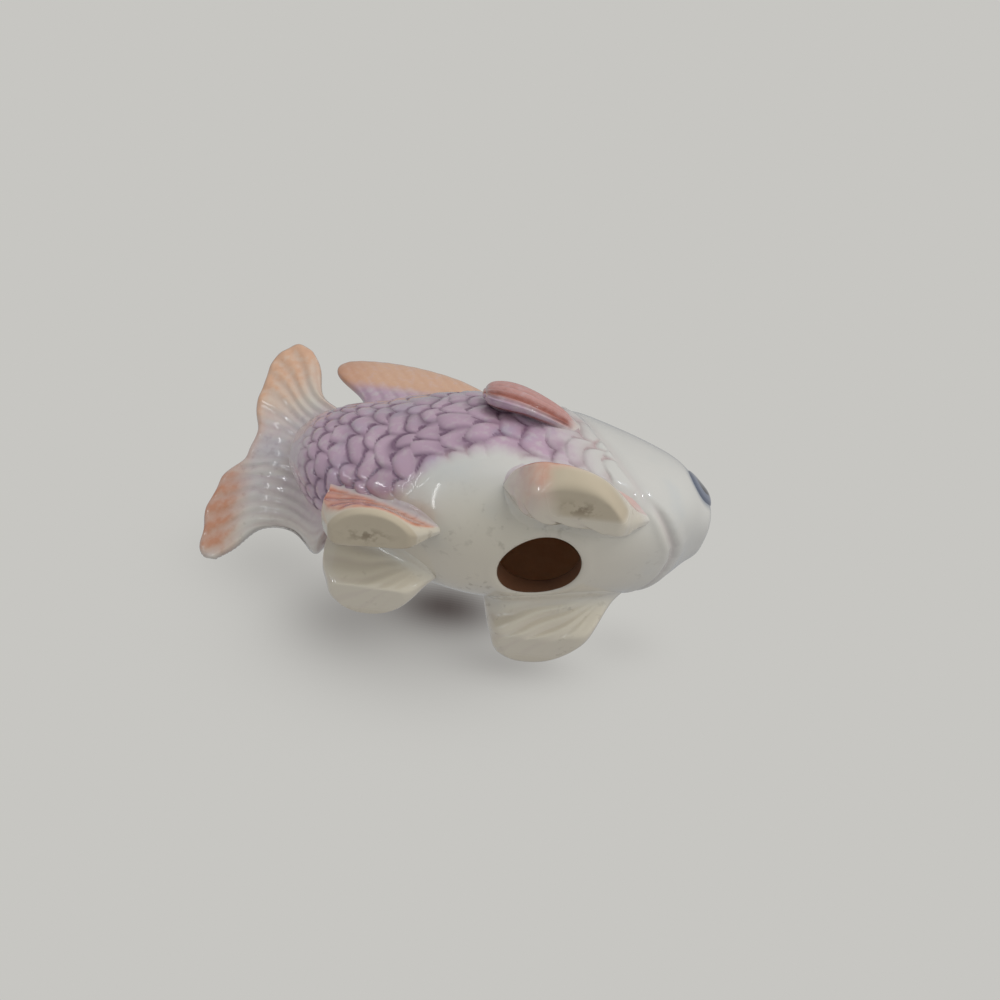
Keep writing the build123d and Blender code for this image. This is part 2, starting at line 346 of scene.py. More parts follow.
@dataclass(frozen=True)
class BodyForm:
    """The body's plain outside form, which the fins grow from.

    Rows run from the tail to the snout: place from the datum section, half
    width, top and bottom. Place is a share of the length, half width of the
    width, top and bottom of the height above the belly.
    """

    length: float = 87.0
    width: float = 34.6
    height: float = 46.4
    belly: float = 2.8
    widest_share: float = 0.42
    back_side: float = 1.12
    back_rise: float = 1.0
    belly_side: float = 0.76
    belly_drop: float = 0.76
    rows: tuple = (
        (-0.4140, 0.072, 0.729, 0.491), (-0.3793, 0.165, 0.791, 0.394), (-0.3218, 0.250, 0.830, 0.303),
        (-0.2069, 0.344, 0.895, 0.172), (-0.0575, 0.462, 0.981, 0.040), (0.0920, 0.500, 1.000, 0.000),
        (0.2299, 0.478, 0.966, 0.030), (0.3448, 0.448, 0.890, 0.063), (0.4368, 0.405, 0.799, 0.110),
        (0.5057, 0.341, 0.703, 0.191), (0.5517, 0.246, 0.605, 0.261), (0.5713, 0.200, 0.567, 0.285),
        (0.5816, 0.130, 0.513, 0.328), (0.5862, 0.050, 0.447, 0.381), (0.5868, 0.001, 0.414, 0.413),
    )

    def stations(self, count: int) -> np.ndarray:
        """Evenly spaced sections: rows of place, half width, top and bottom in millimetres.

        Args:
            count: The number of sections.

        Returns:
            The rows.
        """
        sizes = np.array([self.length, self.width, self.height, self.height])
        least_half, least_height, fine_count = 0.01, 0.02, 4000
        lift = np.array([0.0, 0.0, self.belly, self.belly])
        fine = smooth_rows(np.array(self.rows) * sizes + lift, fine_count)
        fine[:, 1] = np.maximum(fine[:, 1], least_half)
        fine[:, 2] = np.maximum(fine[:, 2], fine[:, 3] + least_height)
        return even_run(fine, count)

    def read(self, x: np.ndarray) -> tuple[np.ndarray, np.ndarray, np.ndarray]:
        """Half width, top and bottom, in millimetres, at places along the body.

        Args:
            x: The places.

        Returns:
            Three arrays, one value for each place.
        """
        table = self.stations(1500)
        table = table[np.argsort(table[:, 0])]
        return tuple(np.interp(x, table[:, 0], table[:, k]) for k in (1, 2, 3))

    def ring(self, station: np.ndarray, count: int) -> np.ndarray:
        """One cross-section from the back round the left side.

        Args:
            station: Place, half width, top and bottom.
            count: How many points to give.

        Returns:
            Points of shape (count, 3).
        """
        place, half, top, bottom = station
        turns = np.linspace(math.pi / 2.0, -1.5 * math.pi, 1440, endpoint=False)
        side, rise = np.cos(turns), np.sin(turns)
        level = bottom + self.widest_share * (top - bottom)
        upper = rise > 0.0
        out = half * np.sign(side) * np.abs(side) ** np.where(upper, self.back_side, self.belly_side)
        lift = np.abs(rise) ** np.where(upper, self.back_rise, self.belly_drop)
        up = level + np.where(upper, (top - level) * lift, -(level - bottom) * lift)
        loop = even_run(np.stack([out, up], axis=1), count, closed=True)
        return points_of(place, loop[:, 0], loop[:, 1])

    def rings(self, rows: int, columns: int) -> np.ndarray:
        """The whole form as a grid of points."""
        return np.stack([self.ring(station, columns) for station in self.stations(rows)])

    def off(self, points: np.ndarray) -> np.ndarray:
        """How far points stand off the body's surface, negative inside.

        Args:
            points: Places of shape (..., 3).

        Returns:
            The distances in millimetres, good near the surface.
        """
        x, y, z = points[..., 0], np.abs(points[..., 1]), points[..., 2]
        half, top, bottom = self.read(x)
        level = bottom + self.widest_share * (top - bottom)
        upper = z > level
        reach = np.where(upper, top - level, level - bottom)
        side_power = 2.0 / np.where(upper, self.back_side, self.belly_side)
        rise_power = 2.0 / np.where(upper, self.back_rise, self.belly_drop)
        side, rise = y / half, np.abs(z - level) / reach
        side_slope = side_power * side ** (side_power - 1.0) / half
        rise_slope = rise_power * rise ** (rise_power - 1.0) / reach
        value = side**side_power + rise**rise_power
        return (value - 1.0) / np.maximum(np.hypot(side_slope, rise_slope), 1e-3)

    def slope(self, points: np.ndarray) -> np.ndarray:
        """The outward direction of the body's form at points of shape (..., 3).

        Args:
            points: Places in millimetres.

        Returns:
            Unit directions of the same shape.
        """
        step = 0.2
        parts = [self.off(points + step * axis) - self.off(points - step * axis) for axis in np.eye(3)]
        return unit(np.stack(parts, axis=-1), 1e-6)


FORM = BodyForm()


@dataclass(frozen=True)
class RootFillet:
    """The small sweep of slip where a fin meets the body."""

    radius: float = 1.8
    depth: float = 1.3
    run_in: float = 1.3
    run_depth: float = 0.8
    most_push: float = 2.5
    pushes: int = 6

    def root(self, grid: np.ndarray, normals: np.ndarray) -> np.ndarray:
        """Sweep a fin's surface out along the body and keep its root shallow.

        Args:
            grid: Points of the fin.
            normals: Their normals.

        Returns:
            The moved points.
        """
        slope, off = FORM.slope(grid), FORM.off(grid)
        reach = self.radius * (1.0 - round_in(off / self.radius))
        reach = reach + self.run_in * np.clip(-off, 0.0, self.run_depth)
        along = normals - np.sum(normals * slope, axis=-1, keepdims=True) * slope
        moved = grid + along * reach[..., None]
        for _ in range(self.pushes):
            buried = np.clip(-self.depth - FORM.off(moved), 0.0, self.most_push)
            moved = moved + FORM.slope(moved) * buried[..., None]
        return moved


@dataclass(frozen=True)
class ScaleCoat:
    """Overlapping puffy scales, laid in staggered columns round the body, with shade painted into their
    creases.
    """

    around: int = 20
    tail_around: int = 14
    tail_columns: int = 9
    tail_ends: Span = (-24.0, -18.0)
    tail_length_share: float = 0.50
    middle_length_share: float = 0.74
    lengthens: Span = (-32.0, -14.0)
    depth_share: float = 0.125
    edge_share: float = 0.42
    half_width: float = 0.62
    fall_share: float = 0.42
    side_fall: float = 1.7
    jitter: float = 0.20
    warp: float = 0.34
    least_warp: float = 0.35
    warps: Span = (-30.0, -12.0)
    sway_turns: tuple = (3, 5, 8, 11)
    sway_pace: float = 1.6
    sway_height: float = 0.4
    shadow: float = 0.85
    shadow_reach: float = 0.13
    reach_jitter: float = 0.8
    skew: float = 0.2
    longest_fall: float = 1.2
    height_jitter: float = 0.14
    rim_shade: float = 0.80
    rim_reach: float = 0.09
    side_shade: float = 0.45
    side_span: Span = (0.30, 0.50)
    front_shade: float = 0.35
    front_span: Span = (0.70, 1.35)
    shade_jitter: float = 0.12
    table_columns: int = 96
    seed: int = 11

    def lay(self, x: np.ndarray, v: np.ndarray, girth: np.ndarray) -> tuple[np.ndarray, np.ndarray]:
        """Height and painted crease shade of the scales over a grid.

        Args:
            x: Place of each row.
            v: Share of the way round of each column.
            girth: Length round each row.

        Returns:
            Heights in millimetres and the painted shade of the creases from 0 to 1.
        """
        pitch = girth / (self.tail_around + (self.around - self.tail_around) * ease(*self.tail_ends, x))
        longer = self.middle_length_share - self.tail_length_share
        length = (self.tail_length_share + longer * ease(*self.lengthens, x)) * pitch
        steps = np.concatenate([[0.0], np.cumsum(2.0 * np.diff(x) / (length[1:] + length[:-1]))])
        along, across = np.broadcast_arrays(steps[:, None], v[None, :])
        rng = np.random.default_rng(self.seed)
        table = rng.uniform(-1.0, 1.0, (4, self.table_columns, self.around))
        warp = self.warp * (self.least_warp + (1.0 - self.least_warp) * ease(*self.warps, x))[:, None]
        along, across = (
            along + warp * self.sway(along, v, rng),
            across + warp * self.sway(along, v, rng) / self.around,
        )
        ahead = np.ceil(along)
        over = self.one_column(along, across, ahead, table)
        under = self.one_column(along, across, ahead - 1.0, table)
        # Painted shadow just behind the free edge of the scale in front.
        shaded = under[2] + self.shadow * np.exp(-np.abs(over[1]) / self.shadow_reach)
        height = np.where(over[1] > 0.0, over[0], under[0])
        shade = np.where(over[1] > 0.0, over[2], shaded)
        return height * pitch[:, None] * self.depth_share, np.clip(shade, 0.0, 1.0)

    def sway(self, along: np.ndarray, v: np.ndarray, rng: np.random.Generator) -> np.ndarray:
        """A soft wandering of the lattice that closes round the body.

        Args:
            along: Columns passed, for every point.
            v: Share of the way round of each column of the grid.
            rng: Source of the phases.

        Returns:
            Shifts of about -1 to 1.
        """
        total = np.zeros_like(along)
        for turns in self.sway_turns:
            pace, phase = rng.uniform(-self.sway_pace, self.sway_pace), rng.uniform(0.0, 2.0 * math.pi)
            total += self.sway_height * np.sin(2.0 * math.pi * turns * v[None, :] + pace * along + phase)
        return total

    def one_column(
        self, along: np.ndarray, across: np.ndarray, column: np.ndarray, table: np.ndarray
    ) -> tuple[np.ndarray, np.ndarray, np.ndarray]:
        """Height, distance from the free edge and painted shade of one column's scales.

        Args:
            along: Columns passed, for every point.
            across: Share of the way round, for every point.
            column: The column to lay at each point.
            table: Random shifts of shape (4, columns, rows).

        Returns:
            Height share, distance inside the free edge and painted shade.
        """
        offset = 0.5 * np.mod(column, 2.0)
        count = np.where(column <= self.tail_columns, self.tail_around, self.around)
        row = np.round(across * count - offset)
        key = (np.mod(column, self.table_columns).astype(int), np.mod(row, count).astype(int))
        shift = self.jitter * table[0][key]
        reach = 1.0 + self.reach_jitter * self.jitter * table[1][key]
        side = across * count - offset - row
        edge = reach * np.sqrt(np.clip(1.0 - ((side + self.skew * shift) / self.half_width) ** 2, 0.0, 1.0))
        inside = along - column + shift + edge
        dome = round_in(inside / self.edge_share)
        fall = 1.0 - self.fall_share * np.clip(inside - self.edge_share, 0.0, self.longest_fall)
        crown = (1.0 - self.side_fall * side**2) * (1.0 + self.height_jitter * table[2][key])
        # Painted shade: dark at the free edge, at the sides and towards the covered front.
        rim = self.rim_shade * np.exp(-np.clip(inside, 0.0, None) / self.rim_reach)
        flank = self.side_shade * ease(*self.side_span, np.abs(side))
        front = self.front_shade * ease(*self.front_span, inside)
        return dome * fall * crown, inside, rim + flank + front + self.shade_jitter * table[3][key] * dome


@dataclass(frozen=True)
class Body:
    """The cast body: skin with scales, gill cover, mouth and drain hole.

    The floor of the scales gives height by place, the gill line place by
    height, and the mouth line place by distance from the middle. Each lip
    gives its distance ahead of the mouth, its width and its rise. Spans are
    where a change starts and where it is complete.
    """

    scales: ScaleCoat = ScaleCoat()
    rows: int = 400
    columns: int = 520
    least_girth: float = 12.0
    hole_radius: float = 8.0
    hole_edge: float = 0.55
    hole_top: float = 8.4
    hole_pull: float = 0.9
    hole_swell: float = 0.16
    swell_place: float = 1.4
    swell_width: float = 0.9
    swell_end: float = 3.2
    rim_slack: float = 0.02
    under_rise: float = 8.0
    collar_width: float = 2.6
    wall: float = 2.8
    scale_floor: tuple = (
        (-36.0, 21.0), (-30.0, 15.5), (-24.0, 12.4), (-19.8, 10.8), (-15.0, 9.8), (-11.3, 10.0),
        (-8.7, 11.2), (-6.2, 12.8), (-3.6, 14.4), (0.9, 15.4), (5.5, 16.2), (12.0, 15.0), (30.0, 12.0),
    )
    gill_line: tuple = (
        (9.0, 35.6), (12.3, 33.6), (14.5, 32.0), (17.8, 29.7), (22.4, 27.6), (26.6, 25.5), (31.4, 24.0),
        (35.8, 22.1), (43.0, 20.0),
    )
    mouth_line: tuple = (
        (0.0, 42.3), (3.8, 41.5), (7.3, 39.6), (9.7, 38.0), (11.3, 36.6), (12.5, 35.3), (15.0, 32.0),
    )
    scale_edge: Span = (-1.2, 2.6)
    scale_front: Span = (0.0, -2.2)
    scale_rear: Span = (-36.0, -30.0)
    saddle_half: float = 6.2
    saddle_rise: float = 3.0
    saddle_rear: Span = (-33.0, -23.0)
    saddle_front: Span = (15.0, 4.0)
    saddle_foot: Span = (34.0, 41.0)
    gill_lift: float = 0.30
    gill_edge: Span = (-0.8, 2.2)
    gill_fall: float = 0.8
    gill_flat: Span = (1.5, 10.0)
    gill_foot: Span = (7.0, 12.0)
    mouth_depth: float = 0.42
    mouth_width: float = 0.75
    mouth_top: Span = (16.0, 14.0)
    mouth_side: Span = (13.6, 11.0)
    mouth_rear: Span = (30.0, 34.0)
    mouth_shade: float = 0.25
    lips: tuple = ((1.7, 1.1, 0.30), (-1.6, 1.0, 0.22))
    mauve_edges: tuple = (-0.8, 2.4, 3.6)
    mauve_widens: Span = (-14.0, -4.0)
    mauve_front: Span = (25.0, 10.0)
    mauve_lean: float = 0.25
    mauve_level: float = 25.0
    tail_mauve: float = 0.45
    tail_fade: Span = (-36.5, -28.5)
    dark_place: Span = (-12.0, 20.0)
    dark_reach: Span = (12.0, 7.0)
    darkening: float = 0.35
    gill_shade: float = 0.20
    gill_shade_place: float = -0.4
    gill_shade_width: float = 0.9
    gill_shade_foot: Span = (10.0, 14.0)
    gill_shade_top: Span = (40.0, 34.0)
    eye_halo: Span = (5.9, 4.0)

    def build(self) -> list[bpy.types.Object]:
        """Make the skin, the hole's wall and the inside."""
        return [self.make_skin(), self.make_hole_wall(), self.make_inside()]

    def make_skin(self) -> bpy.types.Object:
        """Make the outside with all its relief and painted areas.

        Returns:
            The mesh object.
        """
        grid = FORM.rings(self.rows, self.columns)
        girth = np.sum(np.linalg.norm(np.roll(grid, -1, axis=1) - grid, axis=2), axis=1)
        x, y, z = grid[..., 0], np.abs(grid[..., 1]), grid[..., 2]
        around = np.arange(self.columns) / self.columns
        height, shade = self.scales.lay(x[:, 0], around, np.maximum(girth, self.least_girth))
        above = z - read_line(self.scale_floor, x)
        past = x - read_line(self.gill_line, z)
        scaled = ease(*self.scale_edge, above) * ease(*self.scale_front, past) * ease(*self.scale_rear, x)
        saddle = bell(y, self.saddle_half) * ease(*self.saddle_rear, x) * ease(*self.saddle_front, x)
        z += self.saddle_rise * saddle * ease(*self.saddle_foot, z)
        normals = outward_normals(grid)
        gill = self.gill_lift * ease(*self.gill_edge, past) * ease(*self.gill_foot, z)
        gill = gill * (1.0 - self.gill_fall * ease(*self.gill_flat, past))
        ahead = x - read_line(self.mouth_line, y)
        below = ease(*self.mouth_top, z) * ease(*self.mouth_side, y) * ease(*self.mouth_rear, x)
        groove = bell(ahead, self.mouth_width) * below
        lips = sum(rise * bell(ahead - place, width) for place, width, rise in self.lips)
        lift = height * scaled + gill - self.mouth_depth * groove + lips * below
        grid = grid + normals * lift[..., None]
        # Shade is painted into the scales' creases.
        masks = self.paint_skin(grid, above, past, shade * scaled)
        # Painted shade in the mouth's groove.
        masks[Mask.CREASE] = np.maximum(masks[Mask.CREASE], self.mouth_shade * groove)
        grid, kept = self.open_hole(grid)
        return grid_object("body_skin", grid, masks, weld=0.02, kept=kept)

    def paint_skin(self, grid: np.ndarray, above: np.ndarray, past: np.ndarray, crease: np.ndarray) -> Masks:
        """Work out where the skin is mauve, and where shade is painted into its creases and along the gill
        edge.

        Args:
            grid: Points of the skin.
            above: Height above the lowest scales.
            past: Distance ahead of the gill line.
            crease: Painted shade of the scales' creases.

        Returns:
            The painted areas.
        """
        x, y, z = grid[..., 0], np.abs(grid[..., 1]), grid[..., 2]
        low, rear_high, front_high = self.mauve_edges
        high = rear_high + (front_high - rear_high) * ease(*self.mauve_widens, x)
        flank = ease(low, high, above) * ease(*self.mauve_front, x + self.mauve_lean * (z - self.mauve_level))
        dark_x, dark_z = self.dark_place
        dark = bell(x - dark_x, self.dark_reach[0]) * bell(z - dark_z, self.dark_reach[1])
        gill = self.gill_shade * bell(past - self.gill_shade_place, self.gill_shade_width)
        gill = gill * ease(*self.gill_shade_foot, z) * ease(*self.gill_shade_top, z)
        eye_gap = np.linalg.norm(points_of(x, y, z) - np.array(EYE_PLACE), axis=-1)
        return {
            Mask.FLANK: flank * (self.tail_mauve + (1.0 - self.tail_mauve) * ease(*self.tail_fade, x)),
            # Painted crease shade, deeper about the middle of the flank, and painted shade along the gill
            # edge.
            Mask.CREASE: np.maximum(crease * (1.0 + self.darkening * dark), gill),
            Mask.HALO: ease(*self.eye_halo, eye_gap),
            Mask.CREAM: 1.0 - ease(*CREAM_RISE, z),
        }

    def open_hole(self, grid: np.ndarray) -> tuple[np.ndarray, np.ndarray]:
        """Draw the skin back to the hole's edge and round the edge in.

        Args:
            grid: Points of the skin.

        Returns:
            The moved points, and which faces lie outside the hole.
        """
        moved = grid.copy()
        dx, dy = grid[..., 0] - HOLE_AHEAD, grid[..., 1]
        radius = np.hypot(dx, dy)
        under_top = FORM.belly + self.under_rise
        under = grid[..., 2] < under_top
        inside = under & (radius < self.hole_radius)
        near = inside & (radius > self.hole_radius - self.hole_pull)
        scale = self.hole_radius / np.maximum(radius, 1e-6)
        moved[..., 0] = np.where(near, HOLE_AHEAD + dx * scale, moved[..., 0])
        moved[..., 1] = np.where(near, dy * scale, moved[..., 1])
        past = radius - self.hole_radius
        turn = self.hole_edge * (1.0 - round_in(past / self.hole_edge))
        swell = self.hole_swell * bell(past - self.swell_place, self.swell_width)
        moved[..., 2] += np.where(under & (past < self.swell_end), turn - swell, 0.0)
        rim = np.hypot(moved[..., 0] - HOLE_AHEAD, moved[..., 1]) < self.hole_radius + self.rim_slack
        rim &= moved[..., 2] < under_top
        return moved, all_corners(~inside | near) & ~all_corners(rim)

    def make_hole_wall(self) -> bpy.types.Object:
        """Make the hole's upright wall and the flat rim inside the body.

        Returns:
            The mesh object.
        """
        cos, sin = circle(256)
        half, top, bottom = FORM.read(HOLE_AHEAD + self.hole_radius * cos)
        level = bottom + FORM.widest_share * (top - bottom)
        side = np.clip(np.abs(self.hole_radius * sin) / half, 0.0, 0.999)
        mouth = level - (level - bottom) * (1.0 - side ** (2.0 / FORM.belly_side)) ** (FORM.belly_drop / 2.0)
        profile = (
            (0.0, mouth + 0.30),
            (0.0, mouth + 0.75),
            (0.0, self.hole_top - 0.5),
            (0.15, self.hole_top - 0.15),
            (0.5, self.hole_top),
            (self.collar_width, self.hole_top),
            (self.collar_width + 0.1, self.hole_top - 0.6),
        )
        rings = [(self.hole_radius + out, up) for out, up in profile]
        grid = np.stack([points_of(HOLE_AHEAD + radius * cos, radius * sin, up) for radius, up in rings])
        return grid_object("hole_wall", grid, {})

    def make_inside(self) -> bpy.types.Object:
        """Make the rough inside of the cast shell.

        Returns:
            The mesh object.
        """
        inner = BodyForm(
            length=FORM.length - 1.2 * self.wall,
            width=FORM.width - 2.0 * self.wall,
            height=FORM.height - 2.0 * self.wall,
            belly=FORM.belly + self.wall,
        )
        grid = inner.rings(90, 96)
        near = np.hypot(grid[..., 0] - HOLE_AHEAD, grid[..., 1]) < self.hole_radius + 0.5 * self.collar_width
        kept = all_corners(~near | (grid[..., 2] >= self.hole_top + 4.0))
        return grid_object("body_inside", grid, {}, weld=0.0, kept=kept)


@dataclass(frozen=True)
class Wear:
    """A worn brown spot on a sole: place and reach in millimetres."""

    ahead: float
    out: float
    long: float
    wide: float


@dataclass(frozen=True)
class Foot:
    """A fin foot with a flat sole, ribbed slopes and a rounded rim.

    Rows run from rear to front: place from the foot's middle, rim out and up,
    outer and inner edge of the sole, sole height, lower root out and up, upper
    root out and up. Places are shares of the length, widths of the half spread
    and heights of the height. The ribs of the inner and of the outer face fan
    out from an axis, given by its place out and up and by the way across it,
    and each sway gives its size and its pace along and out. Spans are where a
    change starts and where it is complete.
    """

    name: str
    rows: tuple
    length: float
    spread: float
    ahead: float
    wear: Wear
    rib_turn: float
    rib_depth: float
    fan_ahead: float
    bare_top: float
    blush_from: float
    blush: float
    outer_share: float
    strip_out: float
    bare_rear: float
    bare_slant: float
    blush_spot: tuple
    blush_reach: float
    front_blush: float
    rear_mauve: float
    tint_wrap: float
    rear_run: float
    front_run: float = 7.0
    height: float = 20.0
    slope_hollow: float = 0.03
    tuck_out: float = 0.62
    tuck_up: float = 0.35
    inner_step: float = 0.55
    nose_out: float = 0.35
    stations: int = 150
    points: int = 150
    soft: float = 0.9
    left_soft: float = 2.0
    left_round: float = 4.0
    right_round: float = 2.0
    left_strip_share: float = 0.83
    left_bare: float = 0.25
    settle: float = 0.6
    shrink: float = 0.985
    sole_lift: float = 0.02
    clear_up: Span = (0.9, 2.6)
    clear_off: Span = (0.2, 2.0)
    strip_half: float = 0.8
    inner_face: Span = (0.05, 0.55)
    strip_face: Span = (0.2, 0.6)
    outer_face: Span = (0.0, 0.45)
    rib_axes: tuple = (((0.35, 0.40), (0.69, 0.72)), ((0.48, 0.82), (0.74, 0.67)))
    rib_sways: tuple = ((1.3, 0.45, 0.0), (0.9, 0.31, 0.5))
    rib_start: Span = (1.0, 14.0)
    rib_end: Span = (60.0, 38.0)
    bare_side: Span = (-0.35, 0.10)
    bare_edge: Span = (1.1, 0.6)
    bare_run: float = 3.5
    sole_edge: Span = (0.9, 0.25)
    rim_out: Span = (0.55, 0.95)
    rim_up: float = 1.6
    tint_face: float = 0.45
    tint_side: Span = (-0.4, 0.0)
    furrow: Span = (0.2, 1.0)
    blush_run: float = 8.0
    front_place: float = 0.36
    front_reach: float = 4.0
    root_fade: Span = (4.0, 0.2)
    mauve_fade: Span = (4.0, 0.5)
    mauve_rear: Span = (14.0, 7.0)
    fillet: RootFillet = RootFillet(radius=2.0)

    def corners(self, row: np.ndarray) -> np.ndarray:
        """The eight corners of one section, in millimetres.

        Args:
            row: One row of the table.

        Returns:
            Out and up of each corner.
        """
        _, rim_out, rim_up, pad_out, pad_in, sole, low_out, low_up, top_out, top_up = row
        slope_out = (rim_out + top_out) / 2.0 - self.slope_hollow * (rim_out - top_out)
        slope_up = (rim_up + top_up) / 2.0 - self.slope_hollow * (top_up - rim_up)
        outline = (
            (top_out, top_up),
            (slope_out, slope_up),
            (rim_out, rim_up),
            (pad_out + self.tuck_out * (rim_out - pad_out), sole + self.tuck_up * (rim_up - sole)),
            (pad_out, sole),
            (pad_in, sole),
            (low_out + self.inner_step * (pad_in - low_out), sole + self.inner_step * (low_up - sole)),
            (low_out, low_up),
        )
        return np.array(outline) * np.array([self.spread / 2.0, self.height])

    def section(self, row: np.ndarray) -> np.ndarray:
        """One rounded section with evenly spaced points along each edge.

        Args:
            row: One row of the table.

        Returns:
            The section's points.
        """
        corners = self.corners(row)
        edges = np.roll(corners, -1, axis=0) - corners
        fine = corners[:, None] + edges[:, None] * np.array([0.0, 0.34, 0.67])[:, None]
        loop = even_run(rounded_loop(fine.reshape(-1, 2), 4), self.points, closed=True)
        return points_of(self.ahead + row[0] * self.length, loop[:, 0], loop[:, 1])

    def build(self) -> list[bpy.types.Object]:
        """Make the left and the right foot.

        Returns:
            The two mesh objects.
        """
        table = np.array(self.rows)
        rows = cubic(table[:, 0], table, np.linspace(table[0, 0], table[-1, 0], self.stations))
        grid = np.stack([self.section(row) for row in rows])
        rear = nose(grid[0], (-self.nose_out, 0.0, 0.0), 9)[::-1]
        grid = np.concatenate([rear, grid, nose(grid[-1], (self.nose_out, 0.0, 0.0), 9)])
        made = []
        for side, width in ((Side.LEFT, self.left_round), (Side.RIGHT, self.right_round)):
            settled, ends = self.settled_ends(self.softened(grid, width))
            dressed, masks = self.dress(settled, outward_normals(settled), ends, side)
            made.append(grid_object(f"{side.name.lower()}_{self.name}_glazed", dressed, masks, side))
        return made

    @staticmethod
    def softened(grid: np.ndarray, width: float) -> np.ndarray:
        """Round all edges of the sections over a width in points.

        Args:
            grid: Points of shape (rows, columns, 3).
            width: The width of the rounding, in points.

        Returns:
            The rounded points.
        """
        shifts = np.arange(-3 * int(width), 3 * int(width) + 1)
        weights = bell(shifts, width * math.sqrt(2.0))
        rolled = (weight * np.roll(grid, shift, axis=1) for shift, weight in zip(shifts, weights))
        return sum(rolled) / weights.sum()

    def settled_ends(self, grid: np.ndarray) -> tuple[np.ndarray, np.ndarray]:
        """Round both ends of the foot down into the body's surface.

        Args:
            grid: Points of the foot.

        Returns:
            The moved points, and 1 at the two ends.
        """
        x = grid[..., :1]
        front = self.ahead + self.rows[-1][0] * self.length
        rear = self.ahead + self.rows[0][0] * self.length
        before = (x - front + self.front_run) / self.front_run
        behind = (rear + self.rear_run - x) / self.rear_run
        share = np.clip(np.maximum(before, behind), 0.0, 1.0)
        middle = np.broadcast_to(grid.mean(axis=1, keepdims=True), grid.shape)
        surface = middle - FORM.slope(middle) * (FORM.off(middle) + self.settle)[..., None]
        centre = middle + share**2 * (surface - middle)
        return centre + np.sqrt(1.0 - self.shrink * share**2) * (grid - middle), share

    def dress(
        self, grid: np.ndarray, normals: np.ndarray, ends: np.ndarray, side: Side
    ) -> tuple[np.ndarray, Masks]:
        """Add ribs, the root's fillet and the flat sole, and paint the foot, with painted shade in its rib
        furrows.

        Args:
            grid: Points of the foot.
            normals: Their normals.
            ends: 1 at the foot's two ends, where it has no fillet.
            side: The left foot is rounder and glazed under its rim.

        Returns:
            The moved points and the painted areas.
        """
        x, out, up = np.moveaxis(grid, -1, 0)
        off = FORM.off(grid)
        half, right = self.spread / 2.0, side is Side.RIGHT
        strip_out = self.strip_out if right else self.left_strip_share * half
        near_body = ease(*self.clear_off, off)
        clear = np.maximum(ease(*self.clear_up, up), out < strip_out) * near_body
        strip = ease(strip_out + self.strip_half, strip_out - self.strip_half, out)
        inner = ease(*self.inner_face, -normals[..., 1])
        inner = np.maximum(inner, strip * ease(*self.strip_face, -normals[..., 2]))
        outer = ease(*self.outer_face, normals[..., 2])
        behind = self.ahead + self.fan_ahead - x
        from_inner, from_outer = (
            way_out * (out - axis_out * half) + way_up * (axis_up * self.height - up)
            for (axis_out, axis_up), (way_out, way_up) in self.rib_axes
        )
        swing = np.where(inner > outer, from_inner, from_outer)
        turn = np.degrees(np.arctan2(swing, np.maximum(behind, 0.5)))
        turn = turn + sum(size * np.sin(pace * x + pace_out * out) for size, pace, pace_out in self.rib_sways)
        wave = np.cos(2.0 * math.pi * turn / self.rib_turn)
        spread = ease(*self.rib_start, behind) * ease(*self.rib_end, turn)
        ribs = self.rib_depth * wave * clear * spread * np.maximum(inner, self.outer_share * outer)
        ribbed = grid + normals * (ribs * (1.0 - ends[..., 0]))[..., None]
        grid = self.pressed(ribbed + (1.0 - ends**2) * (self.fillet.root(ribbed, normals) - ribbed), side)
        up = grid[..., 2]
        high, low = (share * self.bare_top for share in self.bare_edge)
        bare = ease(*self.bare_side, normals[..., 1]) * ease(high, low, up)
        bare = np.maximum(bare, ease(*self.sole_edge, up))
        bare = bare * (1.0 - 0.9 * outer) * (1.0 - strip) * (1.0 if right else self.left_bare)
        bare = bare * ease(self.bare_rear, self.bare_rear + self.bare_run, x - self.bare_slant * (half - out))
        worn = bell(grid[..., 0] - self.wear.ahead, self.wear.long)
        worn = worn * bell(grid[..., 1] - self.wear.out, self.wear.wide)
        rim = ease(*self.rim_out, out / half) * ease(self.bare_top, self.rim_up * self.bare_top, up)
        face = ease(-self.tint_wrap, self.tint_face - self.tint_wrap, normals[..., 2]) * near_body
        face = face * ease(*self.tint_side, normals[..., 1])
        furrow = ease(*self.furrow, -wave) * clear
        rear = ease(self.blush_from, self.blush_from - self.blush_run, x)
        spot = bell(np.linalg.norm(grid - np.array(self.blush_spot), axis=-1), self.blush_reach)
        front = 0.5 * bell(x - self.ahead - self.front_place * self.length, self.front_reach) * outer
        root = ease(*self.root_fade, off)
        mauve = self.rear_mauve * right * (1.0 - root) * ease(*self.mauve_rear, x)
        tint = face * (self.blush + (1.0 - self.blush) * rim) * (0.3 + 0.7 * rear)
        return grid, {
            Mask.FLANK: np.maximum(0.35 * outer * ease(*self.mauve_fade, off), mauve),
            # Painted shade in the rib furrows.
            Mask.CREASE: 0.20 * furrow * np.maximum(0.6 * inner * spread, outer),
            Mask.TINT: np.clip(tint + self.front_blush * (0.8 * spot * right + front), 0.0, 1.0),
            Mask.DEEP: face * (0.25 + 0.6 * furrow) * rear,
            Mask.BARE: bare,
            Mask.WEAR: 0.6 * worn * (bare if right else 1.0),
            Mask.CREAM: (1.0 - root) * (1.0 - 0.8 * outer) + root * (1.0 - ease(*CREAM_RISE, up)),
        }

    def pressed(self, grid: np.ndarray, side: Side) -> np.ndarray:
        """Push the foot clear of the drain hole and press its sole flat.

        Args:
            grid: Points of the foot.
            side: The left sole has a softer edge.

        Returns:
            The moved points.
        """
        x, out, up = np.moveaxis(grid, -1, 0)
        push = np.maximum(HOLE_CLEAR / np.hypot(x - HOLE_AHEAD, out), 1.0)
        raised = np.maximum(up, 0.0)
        edge = 1.0 - np.exp(-raised / (self.soft if side is Side.RIGHT else self.left_soft))
        return points_of(HOLE_AHEAD + push * (x - HOLE_AHEAD), push * out, raised * edge + self.sole_lift)


